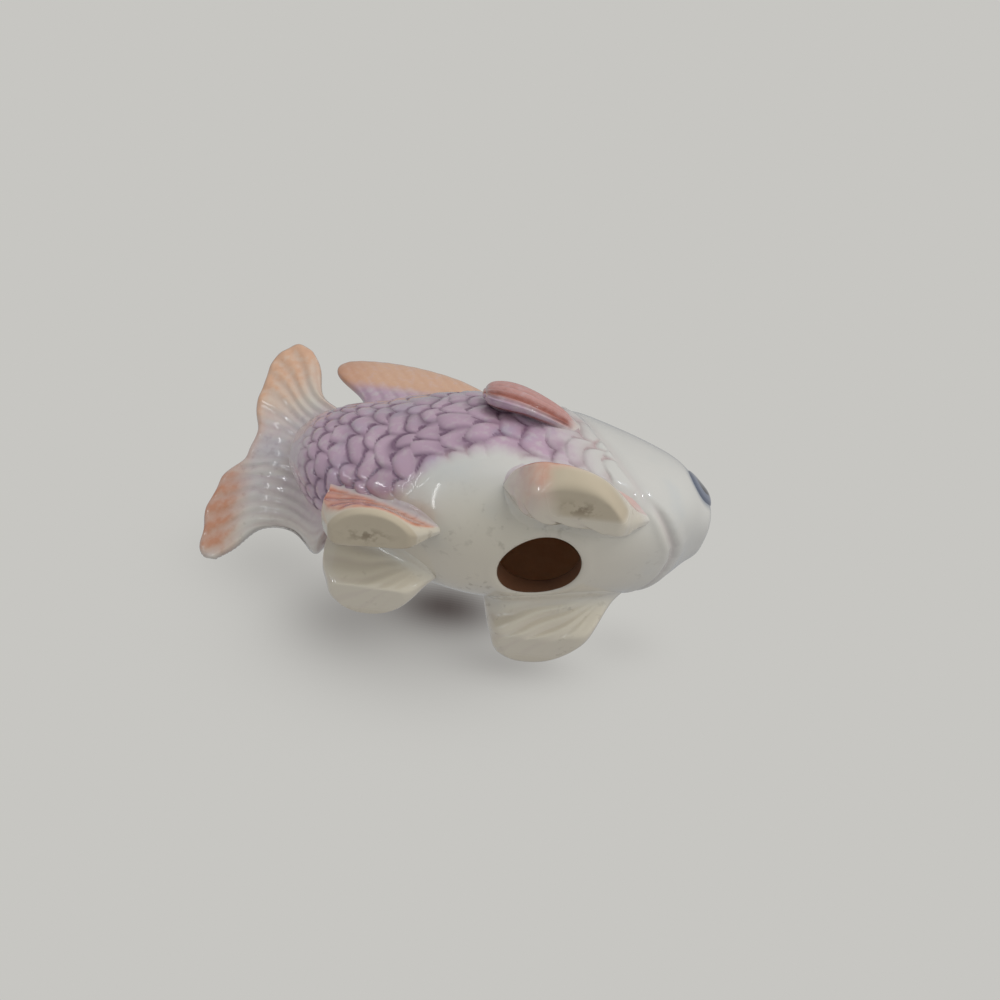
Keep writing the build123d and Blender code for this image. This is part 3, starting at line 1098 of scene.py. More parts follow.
@dataclass(frozen=True)
class Pectoral:
    """A leaf-shaped fin laid back along the upper flank.

    Rows run from rear to front in shares of the length: place, out from the
    body's side, up from its widest level, half height and half thickness.
    """

    length: float = 23.0
    lean: float = 22.0
    side: float = 17.3
    level: float = 22.288
    ahead: float = 12.528
    rows: tuple = (
        (-0.460, 0.056, 0.440, 0.100, 0.040), (-0.430, 0.062, 0.430, 0.205, 0.074),
        (-0.335, 0.068, 0.422, 0.280, 0.100), (-0.165, 0.056, 0.412, 0.300, 0.105),
        (0.015, 0.022, 0.374, 0.262, 0.102), (0.195, -0.033, 0.326, 0.188, 0.094),
        (0.345, -0.107, 0.292, 0.116, 0.080), (0.455, -0.187, 0.280, 0.070, 0.060),
    )
    nose_out: float = 0.5
    ray_turn: float = 21.0
    ray_depth: float = 0.20
    ray_front: float = 0.40
    ray_run: float = 0.86
    ray_sway: float = 8.0
    clear: Span = (0.3, 1.6)
    clear_front: Span = (0.04, 0.25)
    clear_rear: Span = (1.0, 0.92)
    outside: Span = (-0.1, 0.3)
    glaze_edge: Span = (-1.06, -0.90)
    reach: Span = (0.2, 2.2)
    rim_width: Span = (0.40, 0.10)
    mauve: Span = (25.0, 10.0)
    stations: int = 150
    points: int = 130
    fillet: RootFillet = RootFillet(radius=1.3)

    def build(self) -> list[bpy.types.Object]:
        """Make the left and the right fin.

        Returns:
            The two mesh objects.
        """
        place, out, up, half_height, half_thickness = smooth_rows(self.rows, self.stations).T[..., None]
        cos, sin = math.cos(math.radians(self.lean)), math.sin(math.radians(self.lean))
        across, along = circle(self.points)
        grid = points_of(
            self.ahead + place * self.length,
            self.side + (out + half_thickness * across * cos - half_height * along * sin) * self.length,
            self.level + (up + half_thickness * across * sin + half_height * along * cos) * self.length,
        )
        grid = np.concatenate([nose(grid[0], (-self.nose_out, 0.0, 0.0), 7)[::-1], grid])
        normals, off = outward_normals(grid), FORM.off(grid)
        gap = self.ahead + self.ray_front * self.length - grid[..., 0]
        back = np.clip(gap / (self.ray_run * self.length), 0.0, 1.0)
        edge = self.glaze_edge[0] + (self.glaze_edge[1] - self.glaze_edge[0]) * back
        turn = np.degrees(np.arctan2(along, across)) + self.ray_sway * np.sin(4.0 * back)
        wave = np.cos(2.0 * math.pi * turn / self.ray_turn)
        clear = ease(*self.clear, off) * ease(*self.clear_front, back) * ease(*self.clear_rear, back)
        rays = self.ray_depth * wave * clear * ease(*self.outside, across)
        grid = self.fillet.root(grid + normals * rays[..., None], normals)
        reach = ease(*self.reach, off)
        wide, narrow = self.rim_width
        rim = reach * ease(edge, edge + 0.1, along) * ease(edge + wide, edge + narrow, along)
        outer = ease(0.0, 0.5, across)
        masks = {
            Mask.FLANK: 0.85 * ease(*self.mauve, grid[..., 0]),
            # Painted shade on the inner side, towards the body.
            Mask.CREASE: 0.25 * (1.0 - outer),
            Mask.TINT: reach * ease(-0.1, 0.25, across) * ease(edge - 0.05, edge + 0.07, along),
            Mask.DEEP: np.clip(rim + 0.35 * ease(0.3, 1.0, -wave) * clear * outer, 0.0, 1.0),
            Mask.CREAM: 0.4,
        }
        return paired("pectoral_fin", grid, masks)


@dataclass(frozen=True)
class Dorsal:
    """The back fin, swept to a rounded rear tip.

    Rows run from root to top: level as a share of the rise, then rear end,
    front end and half thickness as shares of the length.
    """

    length: float = 48.0
    rise: float = 16.0
    back: float = 49.2
    ahead: float = -8.7
    rows: tuple = (
        (-0.325, -0.309, 0.491, 0.070), (-0.060, -0.319, 0.451, 0.062), (0.185, -0.364, 0.381, 0.052),
        (0.430, -0.444, 0.286, 0.044), (0.635, -0.487, 0.201, 0.038), (0.817, -0.477, 0.081, 0.030),
        (0.938, -0.419, -0.059, 0.021), (1.000, -0.319, -0.169, 0.010),
    )
    edge_power: float = 0.62
    cap: float = 0.18
    lean: float = 9.0
    ray_count: float = 15.0
    ray_depth: float = 0.05
    clear: Span = (0.4, 3.0)
    tan: Span = (0.06, 0.36)
    tan_slant: float = 0.008
    tan_middle: float = -16.0
    tip: Span = (-20.0, -32.0)
    stations: int = 130
    points: int = 260
    fillet: RootFillet = RootFillet(radius=2.4)

    def build(self) -> list[bpy.types.Object]:
        """Make the fin.

        Returns:
            The mesh object, in a list.
        """
        level, rear, front, half_thickness = smooth_rows(self.rows, self.stations).T[..., None]
        along, across = circle(self.points)
        lens = np.sign(across) * np.abs(across) ** self.edge_power
        grid = points_of(
            self.ahead + ((rear + front) / 2.0 + (front - rear) / 2.0 * along) * self.length,
            half_thickness * lens * self.length,
            self.back + level * self.rise,
        )
        grid = np.concatenate([grid, nose(grid[-1], (0.0, 0.0, self.cap), 8)])
        normals, off = outward_normals(grid), FORM.off(grid)
        up = np.clip((grid[..., 2] - self.back) / self.rise, 0.0, 1.0)
        swept = grid[..., 0] + self.lean * up - self.ahead
        wave = np.cos(2.0 * math.pi * self.ray_count * swept / self.length)
        clear = ease(*self.clear, off) * (1.0 - 0.4 * up)
        rays = self.ray_depth * wave * clear * np.abs(normals[..., 1])
        grid = self.fillet.root(grid + normals * rays[..., None], normals)
        x = grid[..., 0]
        high = ease(*self.tan, up + self.tan_slant * (x - self.tan_middle))
        masks = {
            Mask.FLANK: 0.92,
            # Painted shade in the ray furrows, below the tan.
            Mask.CREASE: 0.30 * ease(0.0, 1.0, -wave) * clear * (1.0 - high),
            Mask.TINT: high,
            Mask.DEEP: high * (0.45 * ease(*self.tip, x) + 0.12 * ease(0.1, 1.0, -wave)),
        }
        return [grid_object("dorsal_fin_glazed", grid, masks)]


@dataclass(frozen=True)
class Tail:
    """The two-lobed tail fan, rolled so that its lower lobe swings left.

    Strips give place from the body's rear end, height over its middle, half
    thickness, part of the sweep and roll as a share of a turn. The outline's
    edges give place and height along the fan, in shares of the span.
    """

    span: float = 52.4
    sweep: float = 7.8
    root: tuple = (-36.018, 30.2205)
    strips: tuple = (
        (-0.433, 0.055, 0.019, 1.000, 0.076), (-0.173, 0.055, 0.027, 1.000, 0.076),
        (-0.013, 0.055, 0.037, 0.900, 0.070), (0.115, 0.051, 0.052, 0.577, 0.055),
        (0.207, 0.043, 0.068, 0.335, 0.040),
    )
    upper: tuple = (
        (0.207, 0.150), (0.132, 0.262), (0.059, 0.323), (0.034, 0.393), (0.017, 0.473), (-0.029, 0.548),
    )
    trailing: tuple = (
        (-0.029, 0.548), (-0.090, 0.574), (-0.137, 0.546), (-0.181, 0.496), (-0.200, 0.433),
        (-0.208, 0.359), (-0.221, 0.284), (-0.212, 0.210), (-0.195, 0.143), (-0.210, 0.071),
        (-0.227, 0.006), (-0.269, -0.036), (-0.303, -0.088), (-0.315, -0.147), (-0.334, -0.202),
        (-0.336, -0.258), (-0.328, -0.311), (-0.331, -0.374), (-0.306, -0.418), (-0.263, -0.426),
    )
    lower: tuple = (
        (0.207, -0.310), (0.142, -0.385), (0.071, -0.320), (-0.021, -0.272), (-0.111, -0.285),
        (-0.185, -0.363), (-0.263, -0.426),
    )
    root_bulge: tuple = (0.235, -0.08)
    root_sink: float = 0.9
    rays: float = 15.0
    ray_depth: float = 0.21
    ray_clear: Span = (0.6, 5.0)
    ray_grow: Span = (0.06, 0.40)
    root_ray: float = 0.35
    root_end: float = 0.15
    edge: float = 1.3
    tan_height: Span = (0.08, 0.42)
    tan_slant: float = 0.5
    tan_place: Span = (0.06, -0.06)
    rust_top: Span = (0.04, -0.12)
    rust_place: Span = (-0.15, -0.27)
    rust_foot: Span = (-0.44, -0.36)
    streak: float = 0.14
    mauve: Span = (7.0, 0.4)
    rows: int = 130
    columns: int = 330
    fillet: RootFillet = RootFillet(radius=2.2)

    @staticmethod
    def smooth_edge(points: tuple, count: int) -> np.ndarray:
        """Run a smooth edge through outline points with even spacing."""
        return even_run(smooth_rows(points, 600), count)

    def build(self) -> list[bpy.types.Object]:
        """Make the fan as two sheets joined round their edge.

        Returns:
            The mesh object, in a list.
        """
        flat = self.filled_outline()
        u, s = np.linspace(0.0, 1.0, self.rows)[:, None], np.linspace(0.0, 1.0, self.columns)[None, :]
        middle, normal, half = self.on_fan(flat)
        sunk = np.maximum(FORM.off(middle) + self.root_sink, 0.0) * ease(self.root_end, 0.0, u)
        middle = middle - FORM.slope(middle) * sunk[..., None]
        off = FORM.off(middle)
        edge = self.edge_distance(flat) * self.span
        rim = round_in(edge / self.edge)
        wave = np.cos(2.0 * math.pi * self.rays * s)
        ribs = self.ray_depth * wave * ease(*self.ray_clear, off)
        ribs = ribs * (self.root_ray + (1.0 - self.root_ray) * ease(*self.ray_grow, u))
        thick = ((half + ribs) * rim)[..., None]
        sheets = []
        for way in (-normal, normal):
            sheet = middle + way * thick
            sheets.append(sheet + rim[..., None] * (self.fillet.root(sheet, way) - sheet))
        ring = np.concatenate([sheets[0], sheets[1][:, ::-1]], axis=1)
        ring[-1] = np.concatenate([middle[-1], middle[-1, ::-1]])
        masks = self.paint_fan(flat, off, wave, edge)
        both = {mask: np.concatenate([values, values[:, ::-1]], axis=1) for mask, values in masks.items()}
        both[Mask.CREAM] = 0.4
        return [grid_object("tail_fin_glazed", ring, both, weld=0.01)]

    def filled_outline(self) -> np.ndarray:
        """Fill the outline with a grid of places and heights in shares of the span.

        Returns:
            Points of shape (rows, columns, 3).
        """
        upper, lower = (self.smooth_edge(points, self.rows)[:, None] for points in (self.upper, self.lower))
        trailing = self.smooth_edge(self.trailing, self.columns)
        inner = self.smooth_edge((self.upper[0], self.root_bulge, self.lower[0]), self.columns)
        u = np.linspace(0.0, 1.0, self.rows)[:, None, None]
        s = np.linspace(0.0, 1.0, self.columns)[None, :, None]
        root = inner - (1.0 - s) * inner[0] - s * inner[-1]
        free = trailing - (1.0 - s) * trailing[0] - s * trailing[-1]
        return (1.0 - u) * root + u * free + (1.0 - s) * upper + s * lower

    def on_fan(self, flat: np.ndarray) -> tuple[np.ndarray, np.ndarray, np.ndarray]:
        """Bend flat outline places onto the rolled fan.

        Args:
            flat: Place and height in shares of the span.

        Returns:
            Middle points, unit normals and half thicknesses.
        """
        strips = np.array(self.strips)
        place, height = np.moveaxis(flat, -1, 0)
        values = cubic(strips[:, 0], strips, np.clip(place, strips[0, 0], strips[-1, 0]).reshape(-1))
        _, rise, half, swept, roll = values.T.reshape((-1, *place.shape))
        tilt, seat_roll = 2.0 * math.pi * roll, 2.0 * math.pi * strips[0, 4]
        lifted = (rise - strips[0, 1]) * self.span * math.cos(seat_roll)
        swung = (1.0 - swept) * self.sweep * math.sin(seat_roll)
        along = (height * self.span - lifted - swung) / np.cos(seat_roll - tilt)
        middle = points_of(
            self.root[0] + place * self.span,
            swept * self.sweep - along * np.sin(tilt),
            self.root[1] + rise * self.span + along * np.cos(tilt),
        )
        return middle, points_of(0.0, np.cos(tilt), np.sin(tilt)), half * self.span

    def edge_distance(self, flat: np.ndarray) -> np.ndarray:
        """Distance from every place to the free edge, in shares of the span.

        Args:
            flat: The filled outline.

        Returns:
            One distance for each place.
        """
        edges = ((self.upper, 160), (self.trailing, 320), (self.lower, 160))
        best = np.full(flat.shape[:2], 9.0)
        for point in np.concatenate([self.smooth_edge(points, count) for points, count in edges]):
            best = np.minimum(best, np.hypot(flat[..., 0] - point[0], flat[..., 1] - point[1]))
        return best

    def paint_fan(self, flat: np.ndarray, off: np.ndarray, wave: np.ndarray, edge: np.ndarray) -> Masks:
        """Paint the fan: tan above, rust below, grey between, with painted shade in the ray furrows.

        Args:
            flat: Place and height in shares of the span.
            off: Distance off the body.
            wave: Ribs, 1 on a crest and -1 in a furrow.
            edge: Distance from the free edge in millimetres.

        Returns:
            The painted areas.
        """
        place, height = flat[..., 0], flat[..., 1]
        tan = ease(*self.tan_height, height - self.tan_slant * (place + 0.16)) * ease(*self.tan_place, place)
        rust = ease(*self.rust_top, height) * ease(*self.rust_place, place) * ease(*self.rust_foot, height)
        rim = 0.40 * ease(2.6, 0.4, edge) * ease(-0.45, 0.25, height)
        streak = 1.0 - self.streak + self.streak * wave
        return {
            Mask.FLANK: 0.62 * ease(*self.mauve, off),
            # Painted shade in the ray furrows, clear of the body.
            Mask.CREASE: 0.22 * ease(0.1, 1.0, -wave) * ease(1.0, 5.0, off),
            Mask.TINT: np.clip(tan * streak + rim, 0.0, 1.0),
            Mask.DEEP: np.clip(rust * streak, 0.0, 1.0),
        }


@dataclass(frozen=True)
class Eye:
    """A raised round eye painted on each side of the head."""

    radius: float = 4.3
    rise: float = 0.62
    sink: float = 0.25
    skirt: float = 1.02
    roundness: float = 2.6
    rings: int = 44
    points: int = 96

    def build(self) -> list[bpy.types.Object]:
        """Make the left and the right eye.

        Returns:
            The two mesh objects.
        """
        skin = self.skin_tree()
        centre, normal = (np.array(found) for found in skin.find_nearest(Vector(EYE_PLACE))[:2])
        side = unit(np.cross(normal, np.array([0.0, 0.0, 1.0])))
        up = np.cross(side, normal)
        shares = np.append(np.sin(np.linspace(0.0, math.pi / 2.0, self.rings)), self.skirt)
        cos, sin = circle(self.points)
        spokes = cos[:, None] * side + sin[:, None] * up
        reaches = shares * self.radius
        found = [[self.on_skin(skin, centre, spoke, reach) for spoke in spokes] for reach in reaches]
        points, raised = np.moveaxis(np.array(found), 2, 0)
        dome = np.sqrt(np.clip(1.0 - shares**self.roundness, 0.0, 1.0))
        lift = self.rise * dome - self.sink * (shares > 1.0)
        distance = shares[:, None]
        masks = {Mask.TINT: ease(0.56, 0.50, distance), Mask.DEEP: ease(0.80, 0.88, distance)}
        return paired("eye", points + raised * lift[:, None, None], masks)

    @staticmethod
    def skin_tree() -> BVHTree:
        """The body's plain form as a tree of faces to search.

        Returns:
            The tree.
        """
        rows, columns = 260, 300
        faces = quads(rows, columns)[..., ::-1].reshape(-1, 4)
        return BVHTree.FromPolygons(FORM.rings(rows, columns).reshape(-1, 3).tolist(), faces.tolist())

    @staticmethod
    def on_skin(skin: BVHTree, centre: np.ndarray, spoke: np.ndarray, reach: float) -> tuple:
        """The skin's point at a distance from the eye's middle.

        Args:
            skin: The body's faces.
            centre: Middle of the eye.
            spoke: Direction from the middle.
            reach: Distance in millimetres.

        Returns:
            The point and the skin's outward direction there.
        """
        point = centre + spoke * reach
        for _ in range(6):
            found, normal = skin.find_nearest(Vector(point))[:2]
            gap = np.array(found) - centre
            point = centre + gap * reach / max(np.linalg.norm(gap), 1e-6)
        outwards = normal.dot(Vector((8.0, point[1], 0.0))) > 0.0
        return tuple(found), tuple(normal if outwards else -normal)


@dataclass(frozen=True)
class Wiring:
    """A node tree with short ways to fill it."""

    tree: bpy.types.ShaderNodeTree

    def add(self, kind: str, inputs: dict | None = None, **options: object) -> bpy.types.Node:
        """Add a node.

        Args:
            kind: Blender's name of the node.
            inputs: A socket, number or colour for each input, by name or number.
            options: The node's own settings.

        Returns:
            The node.
        """
        node = self.tree.nodes.new(kind)
        for key, value in options.items():
            setattr(node, key, value)
        self.feed(node, inputs or {})
        return node

    def feed(self, node: bpy.types.Node, inputs: dict) -> None:
        """Link or set a node's inputs.

        Args:
            node: The node.
            inputs: A socket, number or colour for each input, by name or number.
        """
        for key, value in inputs.items():
            if isinstance(value, Socket):
                self.tree.links.new(value, node.inputs[key])
            else:
                node.inputs[key].default_value = (*value, 1.0) if isinstance(value, tuple) else value

    def mask(self, mask: Mask) -> Socket:
        """Read a painted area, which is 0 where the piece has none."""
        return self.add("ShaderNodeAttribute", attribute_name=str(mask.value)).outputs["Fac"]

    def math(self, kind: str, first: Socket, second: Socket | float, clamp: bool = False) -> Socket:
        """Join two values by an operation of Blender's, kept between 0 and 1 with clamp."""
        return self.add("ShaderNodeMath", {0: first, 1: second}, operation=kind, use_clamp=clamp).outputs[0]

    def mapped(self, value: Socket, low: float, high: float, start: float = 0.0, end: float = 1.0) -> Socket:
        """Map a value from the range low to high to the range start to end."""
        ranges = {"From Min": low, "From Max": high, "To Min": start, "To Max": end}
        return self.add("ShaderNodeMapRange", {"Value": value, **ranges}).outputs["Result"]

    def broken(self, mask: Socket, grain: Socket, amount: float) -> Socket:
        """Break a mask's soft edge up with a grain, by an amount of 0 to 1."""
        shift = self.mapped(grain, 0.3, 0.7, 1.0 - amount, 1.0 + amount)
        return self.math("MULTIPLY", mask, shift, clamp=True)

    def mix(self, share: Socket, first: Socket | Colour, second: Socket | Colour) -> Socket:
        """Mix two colours.

        Args:
            share: Share of the second colour.
            first: A colour or the socket that gives it.
            second: A colour or the socket that gives it.

        Returns:
            The mixed colour.
        """
        factor, first_colour, second_colour, result = 0, 6, 7, 2
        inputs = {factor: share, first_colour: first, second_colour: second}
        return self.add("ShaderNodeMix", inputs, data_type="RGBA").outputs[result]

    def mottle(self, scale: float) -> bpy.types.NodeOutputs:
        """Add the shared mottle group and give its grains."""
        return self.add("ShaderNodeGroup", {"Scale": scale}, node_tree=mottle_group()).outputs

    def bump(self, height: Socket, strength: float, distance: float) -> Socket:
        """Give a normal bent by a height, its depth given in millimetres."""
        inputs = {"Height": height, "Strength": strength, "Distance": distance * MILLIMETRE}
        return self.add("ShaderNodeBump", inputs).outputs["Normal"]


def mottle_group() -> bpy.types.ShaderNodeTree:
    """Give the node group for a glaze's uneven colour and ripple, building it once.

    Returns:
        The node group.
    """
    name = "glaze_mottle"
    if name in bpy.data.node_groups:
        return bpy.data.node_groups[name]
    tree = bpy.data.node_groups.new(name, "ShaderNodeTree")
    wires = Wiring(tree)
    grains = (("Cloud", 1.0, 3.0), ("Fine", 7.0, 4.0), ("Ripple", 3.2, 1.0))
    for socket, way in (("Scale", "INPUT"), *((grain[0], "OUTPUT") for grain in grains)):
        tree.interface.new_socket(socket, in_out=way, socket_type="NodeSocketFloat")
    scale = wires.add("NodeGroupInput").outputs["Scale"]
    place = wires.add("ShaderNodeTexCoord").outputs["Object"]
    turned = wires.add("ShaderNodeMapping", {"Vector": place})
    turned.inputs["Rotation"].default_value = (0.6, 0.4, 0.9)
    end = wires.add("NodeGroupOutput")
    for grain, factor, detail in grains:
        size = wires.math("MULTIPLY", scale, factor)
        noise = {"Vector": turned.outputs["Vector"], "Scale": size, "Detail": detail}
        wires.feed(end, {grain: wires.add("ShaderNodeTexNoise", noise).outputs["Fac"]})
    return tree


def new_material(name: str) -> tuple[bpy.types.Material, Wiring]:
    """Make a material with nodes, and the wiring to fill it.

    Args:
        name: The material's name.

    Returns:
        The material and its wiring.
    """
    material = bpy.data.materials.new(name)
    material.use_nodes = True
    return material, Wiring(material.node_tree)


@dataclass(frozen=True)
class Glaze:
    """A glossy glaze over painted porcelain, with bare worn soles."""

    name: str
    white: Colour = paint(206, 203, 196)
    white_shade: Colour = paint(194, 194, 188)
    cream: Colour = paint(206, 197, 178)
    mauve: Colour = paint(194, 167, 182)
    mauve_shade: Colour = paint(172, 144, 162)
    # A painted bluish lustre sheen.
    pearl: Colour = paint(164, 180, 198)
    # Colours of creases and furrows: darker pooled glaze with painted shade.
    furrow: Colour = paint(118, 90, 110)
    pale_furrow: Colour = paint(178, 156, 154)
    tint: Colour = paint(216, 176, 144)
    tint_shade: Colour = paint(200, 158, 130)
    deep: Colour = paint(180, 112, 82)
    bare: Colour = paint(194, 182, 160)
    bare_shade: Colour = paint(180, 166, 142)
    worn: Colour = paint(100, 82, 56)
    halo: Colour = paint(132, 138, 146)
    gloss: float = 0.24
    bare_gloss: float = 0.72
    coat_gloss: float = 0.06
    coat: float = 0.85
    film: float = 330.0
    film_index: float = 1.45
    mottle: float = 90.0
    ripple: float = 0.05
    flank_break: float = 0.35
    area_breaks: tuple = ((Mask.TINT, 0.25), (Mask.DEEP, 0.22), (Mask.HALO, 0.1))
    pearl_grain: Span = (0.59, 0.74)
    pearl_shares: Span = (0.10, 0.30)
    grime_grains: tuple = ((0.57, 0.68), (0.48, 0.62))
    grime_share: float = 0.35
    worn_grain: Span = (0.47, 0.60)

    def build(self) -> bpy.types.Material:
        """Make the material.

        Returns:
            The material.
        """
        material, wires = new_material(self.name)
        grains = wires.mottle(self.mottle)
        cloud, fine = grains["Cloud"], grains["Fine"]
        flank, cream, bare = (wires.mask(area) for area in (Mask.FLANK, Mask.CREAM, Mask.BARE))
        white = wires.mix(cream, wires.mix(cloud, self.white, self.white_shade), self.cream)
        mauve = wires.mix(cloud, self.mauve, self.mauve_shade)
        colour = wires.mix(wires.broken(flank, fine, self.flank_break), white, mauve)
        # A painted bluish lustre sheen in soft patches, stronger on the mauve.
        pearl = wires.mapped(flank, 0.0, 1.0, *self.pearl_shares)
        pearl = wires.math("MULTIPLY", wires.mapped(cloud, *self.pearl_grain), pearl)
        colour = wires.mix(pearl, colour, self.pearl)
        # Creases and furrows take their painted shade colour, plum on the mauve and pale elsewhere.
        colour = wires.mix(wires.mask(Mask.CREASE), colour, wires.mix(flank, self.pale_furrow, self.furrow))
        shades = (wires.mix(fine, self.tint, self.tint_shade), self.deep, self.halo)
        for (area, amount), shade in zip(self.area_breaks, shades):
            colour = wires.mix(wires.broken(wires.mask(area), fine, amount), colour, shade)
        grime = wires.mapped(cream, 0.0, 1.0, 0.0, self.grime_share)
        for grain, reach in zip((fine, cloud), self.grime_grains):
            grime = wires.math("MULTIPLY", grime, wires.mapped(grain, *reach))
        colour = wires.mix(grime, colour, self.worn)
        speckled = wires.math("MULTIPLY", wires.mapped(fine, *self.worn_grain), wires.mask(Mask.WEAR))
        clay = wires.mix(speckled, wires.mix(cloud, self.bare, self.bare_shade), self.worn)
        inputs = {
            "Base Color": wires.mix(bare, colour, clay),
            "Roughness": wires.mapped(bare, 0.0, 1.0, self.gloss, self.bare_gloss),
            "Coat Weight": wires.mapped(bare, 0.0, 1.0, self.coat, 0.0),
            "Coat Roughness": self.coat_gloss,
            "Thin Film Thickness": self.film,
            "Thin Film IOR": self.film_index,
            "Normal": wires.bump(grains["Ripple"], self.ripple, 1.0),
        }
        wires.feed(material.node_tree.nodes["Principled BSDF"], inputs)
        return material


@dataclass(frozen=True)
class Bisque:
    """Unglazed clay inside the shell, rough, in warm browns that stand for the dim warm light and shade
    inside it.
    """

    name: str = "bisque_inside_warm_light"
    clay: Colour = paint(236, 190, 144)
    clay_shade: Colour = paint(220, 170, 126)
    grain: float = 400.0
    rough: float = 0.8
    pit_strength: float = 0.3
    pit_depth: float = 0.2

    def build(self) -> bpy.types.Material:
        """Make the material.

        Returns:
            The material.
        """
        material, wires = new_material(self.name)
        grains = wires.mottle(self.grain)
        inputs = {
            "Base Color": wires.mix(grains["Cloud"], self.clay, self.clay_shade),
            "Roughness": self.rough,
            "Normal": wires.bump(grains["Fine"], self.pit_strength, self.pit_depth),
        }
        wires.feed(material.node_tree.nodes["Principled BSDF"], inputs)
        return material


@dataclass(frozen=True)
class Lamp:
    """A soft area lamp, placed in the camera's own directions, in millimetres."""

    name: str
    toward: tuple
    distance: float
    size: float
    size_y: float
    power: float
    long_way: tuple = (0.0, 1.0, 0.0)
    mirrored: bool = False


@dataclass(frozen=True)
class Stage:
    """Camera, floor, cloth, lamps and world.

    Each of the cloth's painted shadows gives its middle, its reach and its depth.
    """

    camera_right: tuple = (0.9904091113, -0.1368985148, 0.0186705339)
    camera_up: tuple = (-0.1116576287, -0.7134593237, 0.6917429923)
    camera_back: tuple = (-0.0813779218, -0.6871932699, -0.7219023782)
    camera_place: tuple = (-4.88281, -106.33573, -89.89212)
    lens: float = 27.0
    sensor: float = 36.0
    clip: Span = (0.005, 20.0)
    backdrop: Colour = paint(199, 198, 194)
    ground: Colour = paint(212, 210, 206)
    cloth_normal: tuple = (0.076, -0.932, -0.354)
    cloth_touch: tuple = (17.0, 27.6, 3.5)
    cloth_top: float = 34.0
    step: float = 0.5
    # The fish's shadow on the cloth is painted: its colour and its soft spots.
    cloth_shade: Colour = paint(70, 62, 60)
    cloth_shades: tuple = (
        ((-1.0, 23.0, 11.0), (15.0, 8.0, 6.5), 0.95),
        ((-22.0, 23.0, 6.0), (12.0, 9.0, 8.0), 0.38),
        ((-38.0, 18.0, 15.0), (14.0, 8.0, 8.0), 0.20),
        ((14.0, 28.0, 1.5), (13.0, 4.0, 4.0), 0.30),
        ((-8.0, 26.0, 2.0), (26.0, 14.0, 12.0), 0.25),
        ((38.0, 26.0, 8.0), (9.0, 4.0, 5.0), 0.12),
    )
    cloth_half: float = 190.0
    cloth_foot: Span = (-150.0, -0.1)
    overlaps: Span = (2.0, -1.0)
    floor_radii: tuple = (0.001, *range(40, 250, 15), 260.0, 360.0, 480.0, 640.0)
    floor_fade: Span = (600.0, 200.0)
    floor_near: Span = (230.0, 70.0)
    floor_lit: float = 0.42
    floor_even: float = 0.62
    lamps: tuple = (
        Lamp("window", (0.45, 0.72, 0.55), 420.0, 260.0, 260.0, 0.77),
        Lamp("side", (0.85, 0.05, 0.50), 420.0, 200.0, 200.0, 0.38),
        Lamp("fill", (-0.50, -0.45, 0.74), 420.0, 240.0, 240.0, 0.12),
        Lamp("strip", (-0.50, 0.12, 0.85), 420.0, 12.0, 330.0, 0.10, (0.35, 0.85, -0.3), True),
        Lamp("glint", (-0.74, 0.10, 0.66), 420.0, 9.0, 120.0, 0.06, (-0.2, 0.9, -0.3), True),
        Lamp("bulb", (0.62, 0.50, 0.60), 420.0, 26.0, 26.0, 0.06, (0.0, 1.0, 0.0), True),
    )
    top_lamp: Lamp = Lamp("top", (0.25, 0.30, 0.92), 450.0, 300.0, 300.0, 0.5)
    aim: tuple = (0.0, 0.0, 0.025)
    world_tint: Colour = (0.96, 0.98, 1.0)
    world_light: float = 0.40

    def direction(self, toward: tuple) -> np.ndarray:
        """Turn a direction in the camera's terms, right, up and back, into the fish's."""
        return unit(np.array(toward) @ np.array([self.camera_right, self.camera_up, self.camera_back]))

    def build(self) -> None:
        """Make everything round the fish."""
        self.make_camera()
        self.make_world()
        for lamp in self.lamps:
            self.make_lamp(lamp, self.direction(lamp.toward))
        self.make_lamp(self.top_lamp, np.array(self.top_lamp.toward))
        material = self.ground_material()
        for ground in (self.make_floor(), self.make_cloth()):
            ground.data.materials.append(material)
            for ray in ("shadow", "diffuse", "glossy", "transmission"):
                setattr(ground, f"visible_{ray}", False)

    def make_camera(self) -> None:
        """Place the camera as the photograph was taken."""
        data = bpy.data.cameras.new("camera")
        data.lens = self.lens
        data.sensor_width = self.sensor
        data.clip_start, data.clip_end = self.clip
        camera = bpy.data.objects.new("camera", data)
        bpy.context.scene.collection.objects.link(camera)
        place = (np.array(self.camera_place) + np.array(DATUM_SHIFT)) * MILLIMETRE
        columns = zip(self.camera_right, self.camera_up, self.camera_back, place)
        camera.matrix_world = Matrix([list(column) for column in columns] + [[0.0, 0.0, 0.0, 1.0]])
        bpy.context.scene.camera = camera

    def make_world(self) -> None:
        """Light evenly, and show the plain backdrop to the camera."""
        world = bpy.data.worlds.new("studio")
        bpy.context.scene.world = world
        world.use_nodes = True
        world.node_tree.nodes.clear()
        wires = Wiring(world.node_tree)
        light = wires.add("ShaderNodeBackground", {"Color": self.world_tint, "Strength": self.world_light})
        shown = wires.add("ShaderNodeBackground", {"Color": self.backdrop, "Strength": 1.0})
        seen = wires.add("ShaderNodeLightPath").outputs["Is Camera Ray"]
        pick = wires.add("ShaderNodeMixShader", {0: seen, 1: light.outputs[0], 2: shown.outputs[0]})
        wires.add("ShaderNodeOutputWorld", {"Surface": pick.outputs[0]})

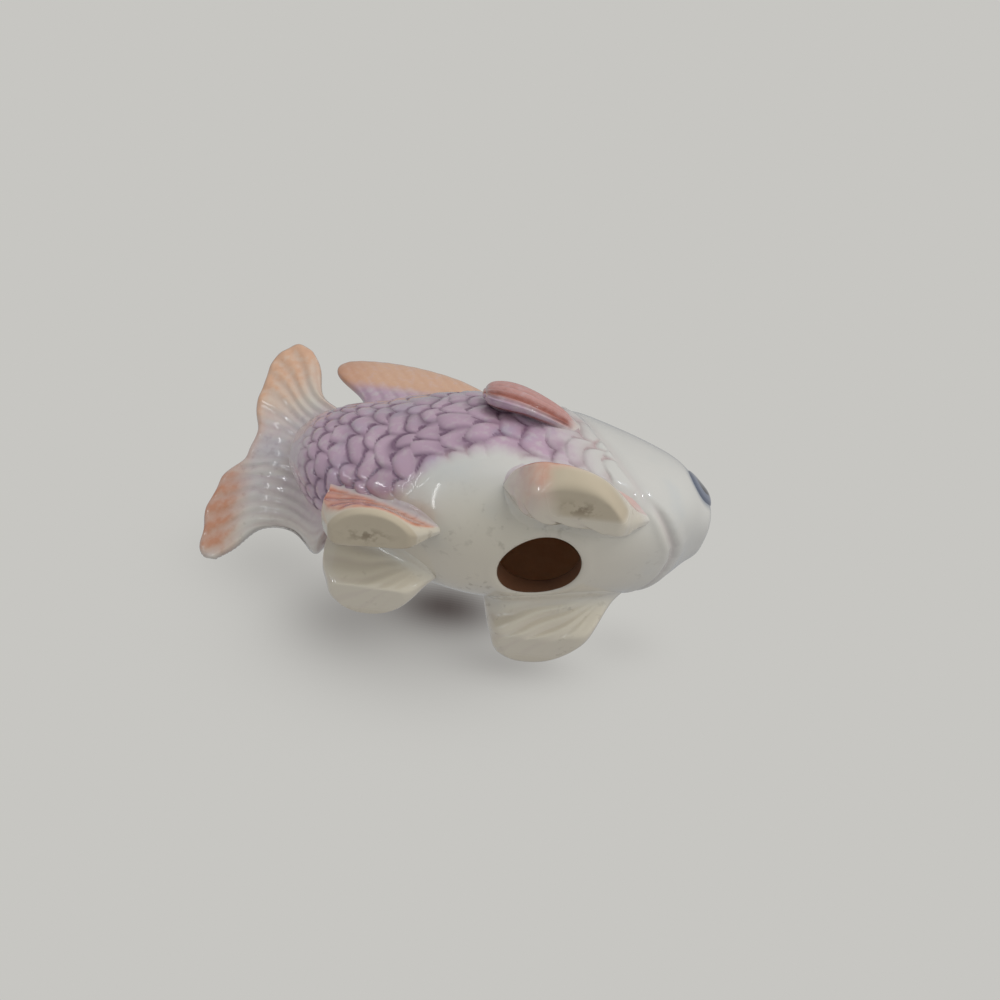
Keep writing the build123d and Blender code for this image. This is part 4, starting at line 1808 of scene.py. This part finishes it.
    def make_lamp(self, lamp: Lamp, direction: np.ndarray) -> None:
        """Place one lamp that looks at the fish.

        Args:
            lamp: The lamp.
            direction: Where it stands, from the fish.
        """
        data = bpy.data.lights.new(lamp.name, "AREA")
        data.shape = "RECTANGLE"
        data.size = lamp.size * MILLIMETRE
        data.size_y = lamp.size_y * MILLIMETRE
        data.energy = lamp.power
        made = bpy.data.objects.new(lamp.name, data)
        bpy.context.scene.collection.objects.link(made)
        place = Vector(direction) * lamp.distance * MILLIMETRE
        made.location = Vector(self.aim) + place
        made.rotation_mode = "QUATERNION"
        back = place.normalized()
        across = Vector(self.direction(lamp.long_way)).cross(back).normalized()
        made.rotation_quaternion = Matrix((across, back.cross(across), back)).transposed().to_quaternion()
        made.visible_glossy = lamp.mirrored

    def make_floor(self) -> bpy.types.Object:
        """Make the round floor under the feet, which faces up.

        Returns:
            The mesh object.
        """
        radii = np.array(self.floor_radii)[:, None]
        cos, sin = circle(96)
        grid = points_of(radii * cos, radii * sin, 0.0)
        masks = {Mask.TINT: ease(*self.floor_fade, radii), Mask.HALO: ease(*self.floor_near, radii)}
        return mesh_object("floor", grid, quads(*grid.shape[:2])[..., ::-1], masks)

    def make_cloth(self) -> bpy.types.Object:
        """Make the pale cloth that the fish lies against in the photograph.

        Above the floor it is laid in narrow level steps, so that it is seen
        only from below, as in the photograph.

        Returns:
            The mesh object.
        """
        normal, touch = np.array(self.cloth_normal), np.array(self.cloth_touch)
        x = np.linspace(-self.cloth_half, self.cloth_half, 153)
        below = np.linspace(*self.cloth_foot, 76)
        above = np.arange(0.5 * self.step, self.cloth_top, self.step)
        lines = [(level, 0.0) for level in below]
        lines += [(level, shift * self.step) for level in above for shift in self.overlaps]
        level, shift = np.array(lines).T[..., None]
        out = touch[1] - (normal[2] * (level - touch[2]) + normal[0] * (x - touch[0])) / normal[1] + shift
        grid = points_of(x, out, level)
        strips = np.arange(len(lines) - 1) - len(below)
        kept = (strips < -1) | ((strips >= 0) & (strips % 2 == 0))
        faces = quads(*grid.shape[:2])[kept][:, :-1]
        # Paint the fish's shadow onto the cloth, darkest between the feet.
        shade = np.zeros(grid.shape[:2])
        for place, reach, depth in self.cloth_shades:
            gap = np.linalg.norm((grid - np.array(place)) / np.array(reach), axis=-1)
            shade = 1.0 - (1.0 - shade) * (1.0 - depth * bell(gap, 1.0))
        return mesh_object("cloth", grid, faces, {Mask.DEEP: shade, Mask.TINT: 1.0})

    def ground_material(self) -> bpy.types.Material:
        """Make the floor's and cloth's pale finish, seen from their front only; the cloth carries its painted
        shadow.

        Returns:
            The material.
        """
        material, wires = new_material("plain_ground")
        material.node_tree.nodes.clear()
        near = wires.mask(Mask.HALO)
        shone = tuple(self.floor_lit * channel for channel in self.ground)
        base = tuple(self.floor_even * channel for channel in self.backdrop)
        # The cloth's painted shadow darkens its even glow.
        pale = wires.mix(wires.mask(Mask.DEEP), wires.mix(near, self.backdrop, base), self.cloth_shade)
        lit = wires.add("ShaderNodeBsdfDiffuse", {"Color": wires.mix(near, (0.0, 0.0, 0.0), shone)})
        even = wires.add("ShaderNodeEmission", {"Color": pale})
        matt = wires.add("ShaderNodeAddShader", {0: lit.outputs[0], 1: even.outputs[0]})
        clear = wires.add("ShaderNodeBsdfTransparent")
        behind = wires.add("ShaderNodeNewGeometry").outputs["Backfacing"]
        front = wires.math("SUBTRACT", wires.mask(Mask.TINT), behind, clamp=True)
        pick = wires.add("ShaderNodeMixShader", {0: front, 1: clear.outputs[0], 2: matt.outputs[0]})
        wires.add("ShaderNodeOutputMaterial", {"Surface": pick.outputs[0]})
        return material


def front_feet() -> Foot:
    """The pelvic pair of feet.

    Returns:
        The feet, ready to build.
    """
    return Foot(
        name="pelvic_fin",
        length=33.0,
        spread=54.4,
        ahead=17.4,
        wear=Wear(19.0, 20.6, 3.2, 1.5),
        rib_turn=9.5,
        rib_depth=0.34,
        fan_ahead=15.0,
        bare_top=4.0,
        blush_from=20.0,
        blush=0.55,
        outer_share=0.1,
        strip_out=18.6,
        bare_rear=10.5,
        bare_slant=0.35,
        blush_spot=(12.5, 25.5, 3.6),
        blush_reach=4.6,
        front_blush=1.0,
        rear_mauve=0.30,
        tint_wrap=0.0,
        rear_run=4.5,
        rows=(
            (-0.335, 0.735, 0.400, 0.715, 0.665, 0.330, 0.620, 0.400, 0.620, 0.490),
            (-0.312, 0.800, 0.410, 0.762, 0.660, 0.250, 0.560, 0.400, 0.580, 0.620),
            (-0.262, 0.872, 0.350, 0.803, 0.643, 0.115, 0.480, 0.400, 0.510, 0.760),
            (-0.192, 0.940, 0.280, 0.831, 0.632, 0.015, 0.405, 0.400, 0.478, 0.800),
            (-0.107, 0.988, 0.220, 0.853, 0.632, -0.030, 0.350, 0.400, 0.478, 0.825),
            (-0.012, 1.000, 0.180, 0.856, 0.632, -0.030, 0.350, 0.400, 0.478, 0.825),
            (0.109, 0.956, 0.175, 0.838, 0.618, -0.030, 0.350, 0.400, 0.478, 0.825),
            (0.223, 0.846, 0.210, 0.757, 0.570, -0.015, 0.340, 0.410, 0.460, 0.810),
            (0.323, 0.700, 0.270, 0.640, 0.515, 0.060, 0.330, 0.430, 0.441, 0.780),
            (0.418, 0.560, 0.365, 0.515, 0.441, 0.225, 0.294, 0.460, 0.404, 0.740),
            (0.523, 0.420, 0.540, 0.396, 0.350, 0.450, 0.280, 0.530, 0.331, 0.680),
        ),
    )


def rear_feet() -> Foot:
    """The anal pair of feet.

    Returns:
        The feet, ready to build.
    """
    return Foot(
        name="anal_fin",
        length=24.0,
        spread=29.4,
        ahead=-15.225,
        wear=Wear(-16.5, 8.6, 3.4, 1.6),
        rib_turn=11.0,
        rib_depth=0.10,
        fan_ahead=11.0,
        bare_top=1.3,
        blush_from=6.0,
        blush=0.9,
        outer_share=1.0,
        strip_out=5.4,
        bare_rear=-40.0,
        bare_slant=0.0,
        blush_spot=(0.0, 0.0, 0.0),
        blush_reach=1.0,
        front_blush=0.0,
        rear_mauve=0.0,
        tint_wrap=0.3,
        rear_run=1.5,
        rows=(
            (-0.486, 0.480, 0.520, 0.420, 0.300, 0.420, 0.150, 0.880, 0.280, 0.900),
            (-0.346, 0.740, 0.200, 0.640, 0.350, 0.060, 0.150, 0.800, 0.300, 0.800),
            (-0.199, 0.940, 0.095, 0.795, 0.370, -0.030, 0.160, 0.710, 0.330, 0.710),
            (-0.033, 1.000, 0.080, 0.850, 0.395, -0.030, 0.180, 0.620, 0.350, 0.620),
            (0.134, 0.915, 0.085, 0.770, 0.410, -0.030, 0.210, 0.530, 0.370, 0.530),
            (0.301, 0.690, 0.125, 0.610, 0.410, 0.040, 0.240, 0.450, 0.400, 0.450),
            (0.484, 0.500, 0.270, 0.470, 0.400, 0.200, 0.300, 0.370, 0.400, 0.370),
        ),
    )


def attach(piece: bpy.types.Object, material: bpy.types.Material, node: str | None) -> None:
    """Dress a piece and fix it to the fish.

    Args:
        piece: The object.
        material: Its finish.
        node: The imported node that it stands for, if any.
    """
    piece.data.materials.clear()
    piece.data.materials.append(material)
    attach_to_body(piece, "root")
    if node:
        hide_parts(node)
    log.info("%s: %d points", piece.name, len(piece.data.vertices))


def build_fish() -> None:
    """Build and dress every piece of the fish, from the body outwards."""
    tail_glaze = Glaze("tail_glaze", deep=paint(188, 134, 104)).build()
    pectoral_glaze = Glaze(
        "pectoral_glaze", tint=paint(192, 148, 140), tint_shade=paint(178, 130, 122), deep=paint(146, 84, 68)
    ).build()
    foot_glaze = Glaze("foot_glaze", tint=paint(214, 166, 142), tint_shade=paint(206, 150, 128)).build()
    eye_glaze = Glaze(
        "eye_glaze",
        white=paint(112, 120, 134),
        white_shade=paint(96, 104, 120),
        tint=paint(16, 17, 20),
        tint_shade=paint(12, 12, 15),
        deep=paint(92, 99, 112),
        gloss=0.10,
    ).build()
    skin, wall, inside = Body().build()
    attach(skin, Glaze("skin_glaze").build(), "body_shell")
    # The hole's wall is painted dark brown, as shade in the hole.
    attach(wall, Bisque("hole_wall_painted_shade", paint(112, 74, 49), paint(98, 65, 44)).build(), None)
    attach(inside, Bisque().build(), None)
    for sub_assembly, glaze, slot in (
        (Tail(), tail_glaze, Slot.FIN),
        (Dorsal(), tail_glaze, Slot.FIN),
        (Pectoral(), pectoral_glaze, Slot.FIN),
        (front_feet(), foot_glaze, Slot.FOOT),
        (rear_feet(), foot_glaze, Slot.FOOT),
        (Eye(), eye_glaze, Slot.EYE),
    ):
        for piece in sub_assembly.build():
            attach(piece, glaze, piece.name.removesuffix("_glazed"))


def main() -> None:
    """Build the fish and the stage round it."""
    logging.basicConfig(level=logging.INFO, format="%(name)s: %(message)s")
    build_fish()
    Stage().build()
    bpy.context.scene.view_settings.view_transform = "Standard"


if __name__ == "__main__":
    main()
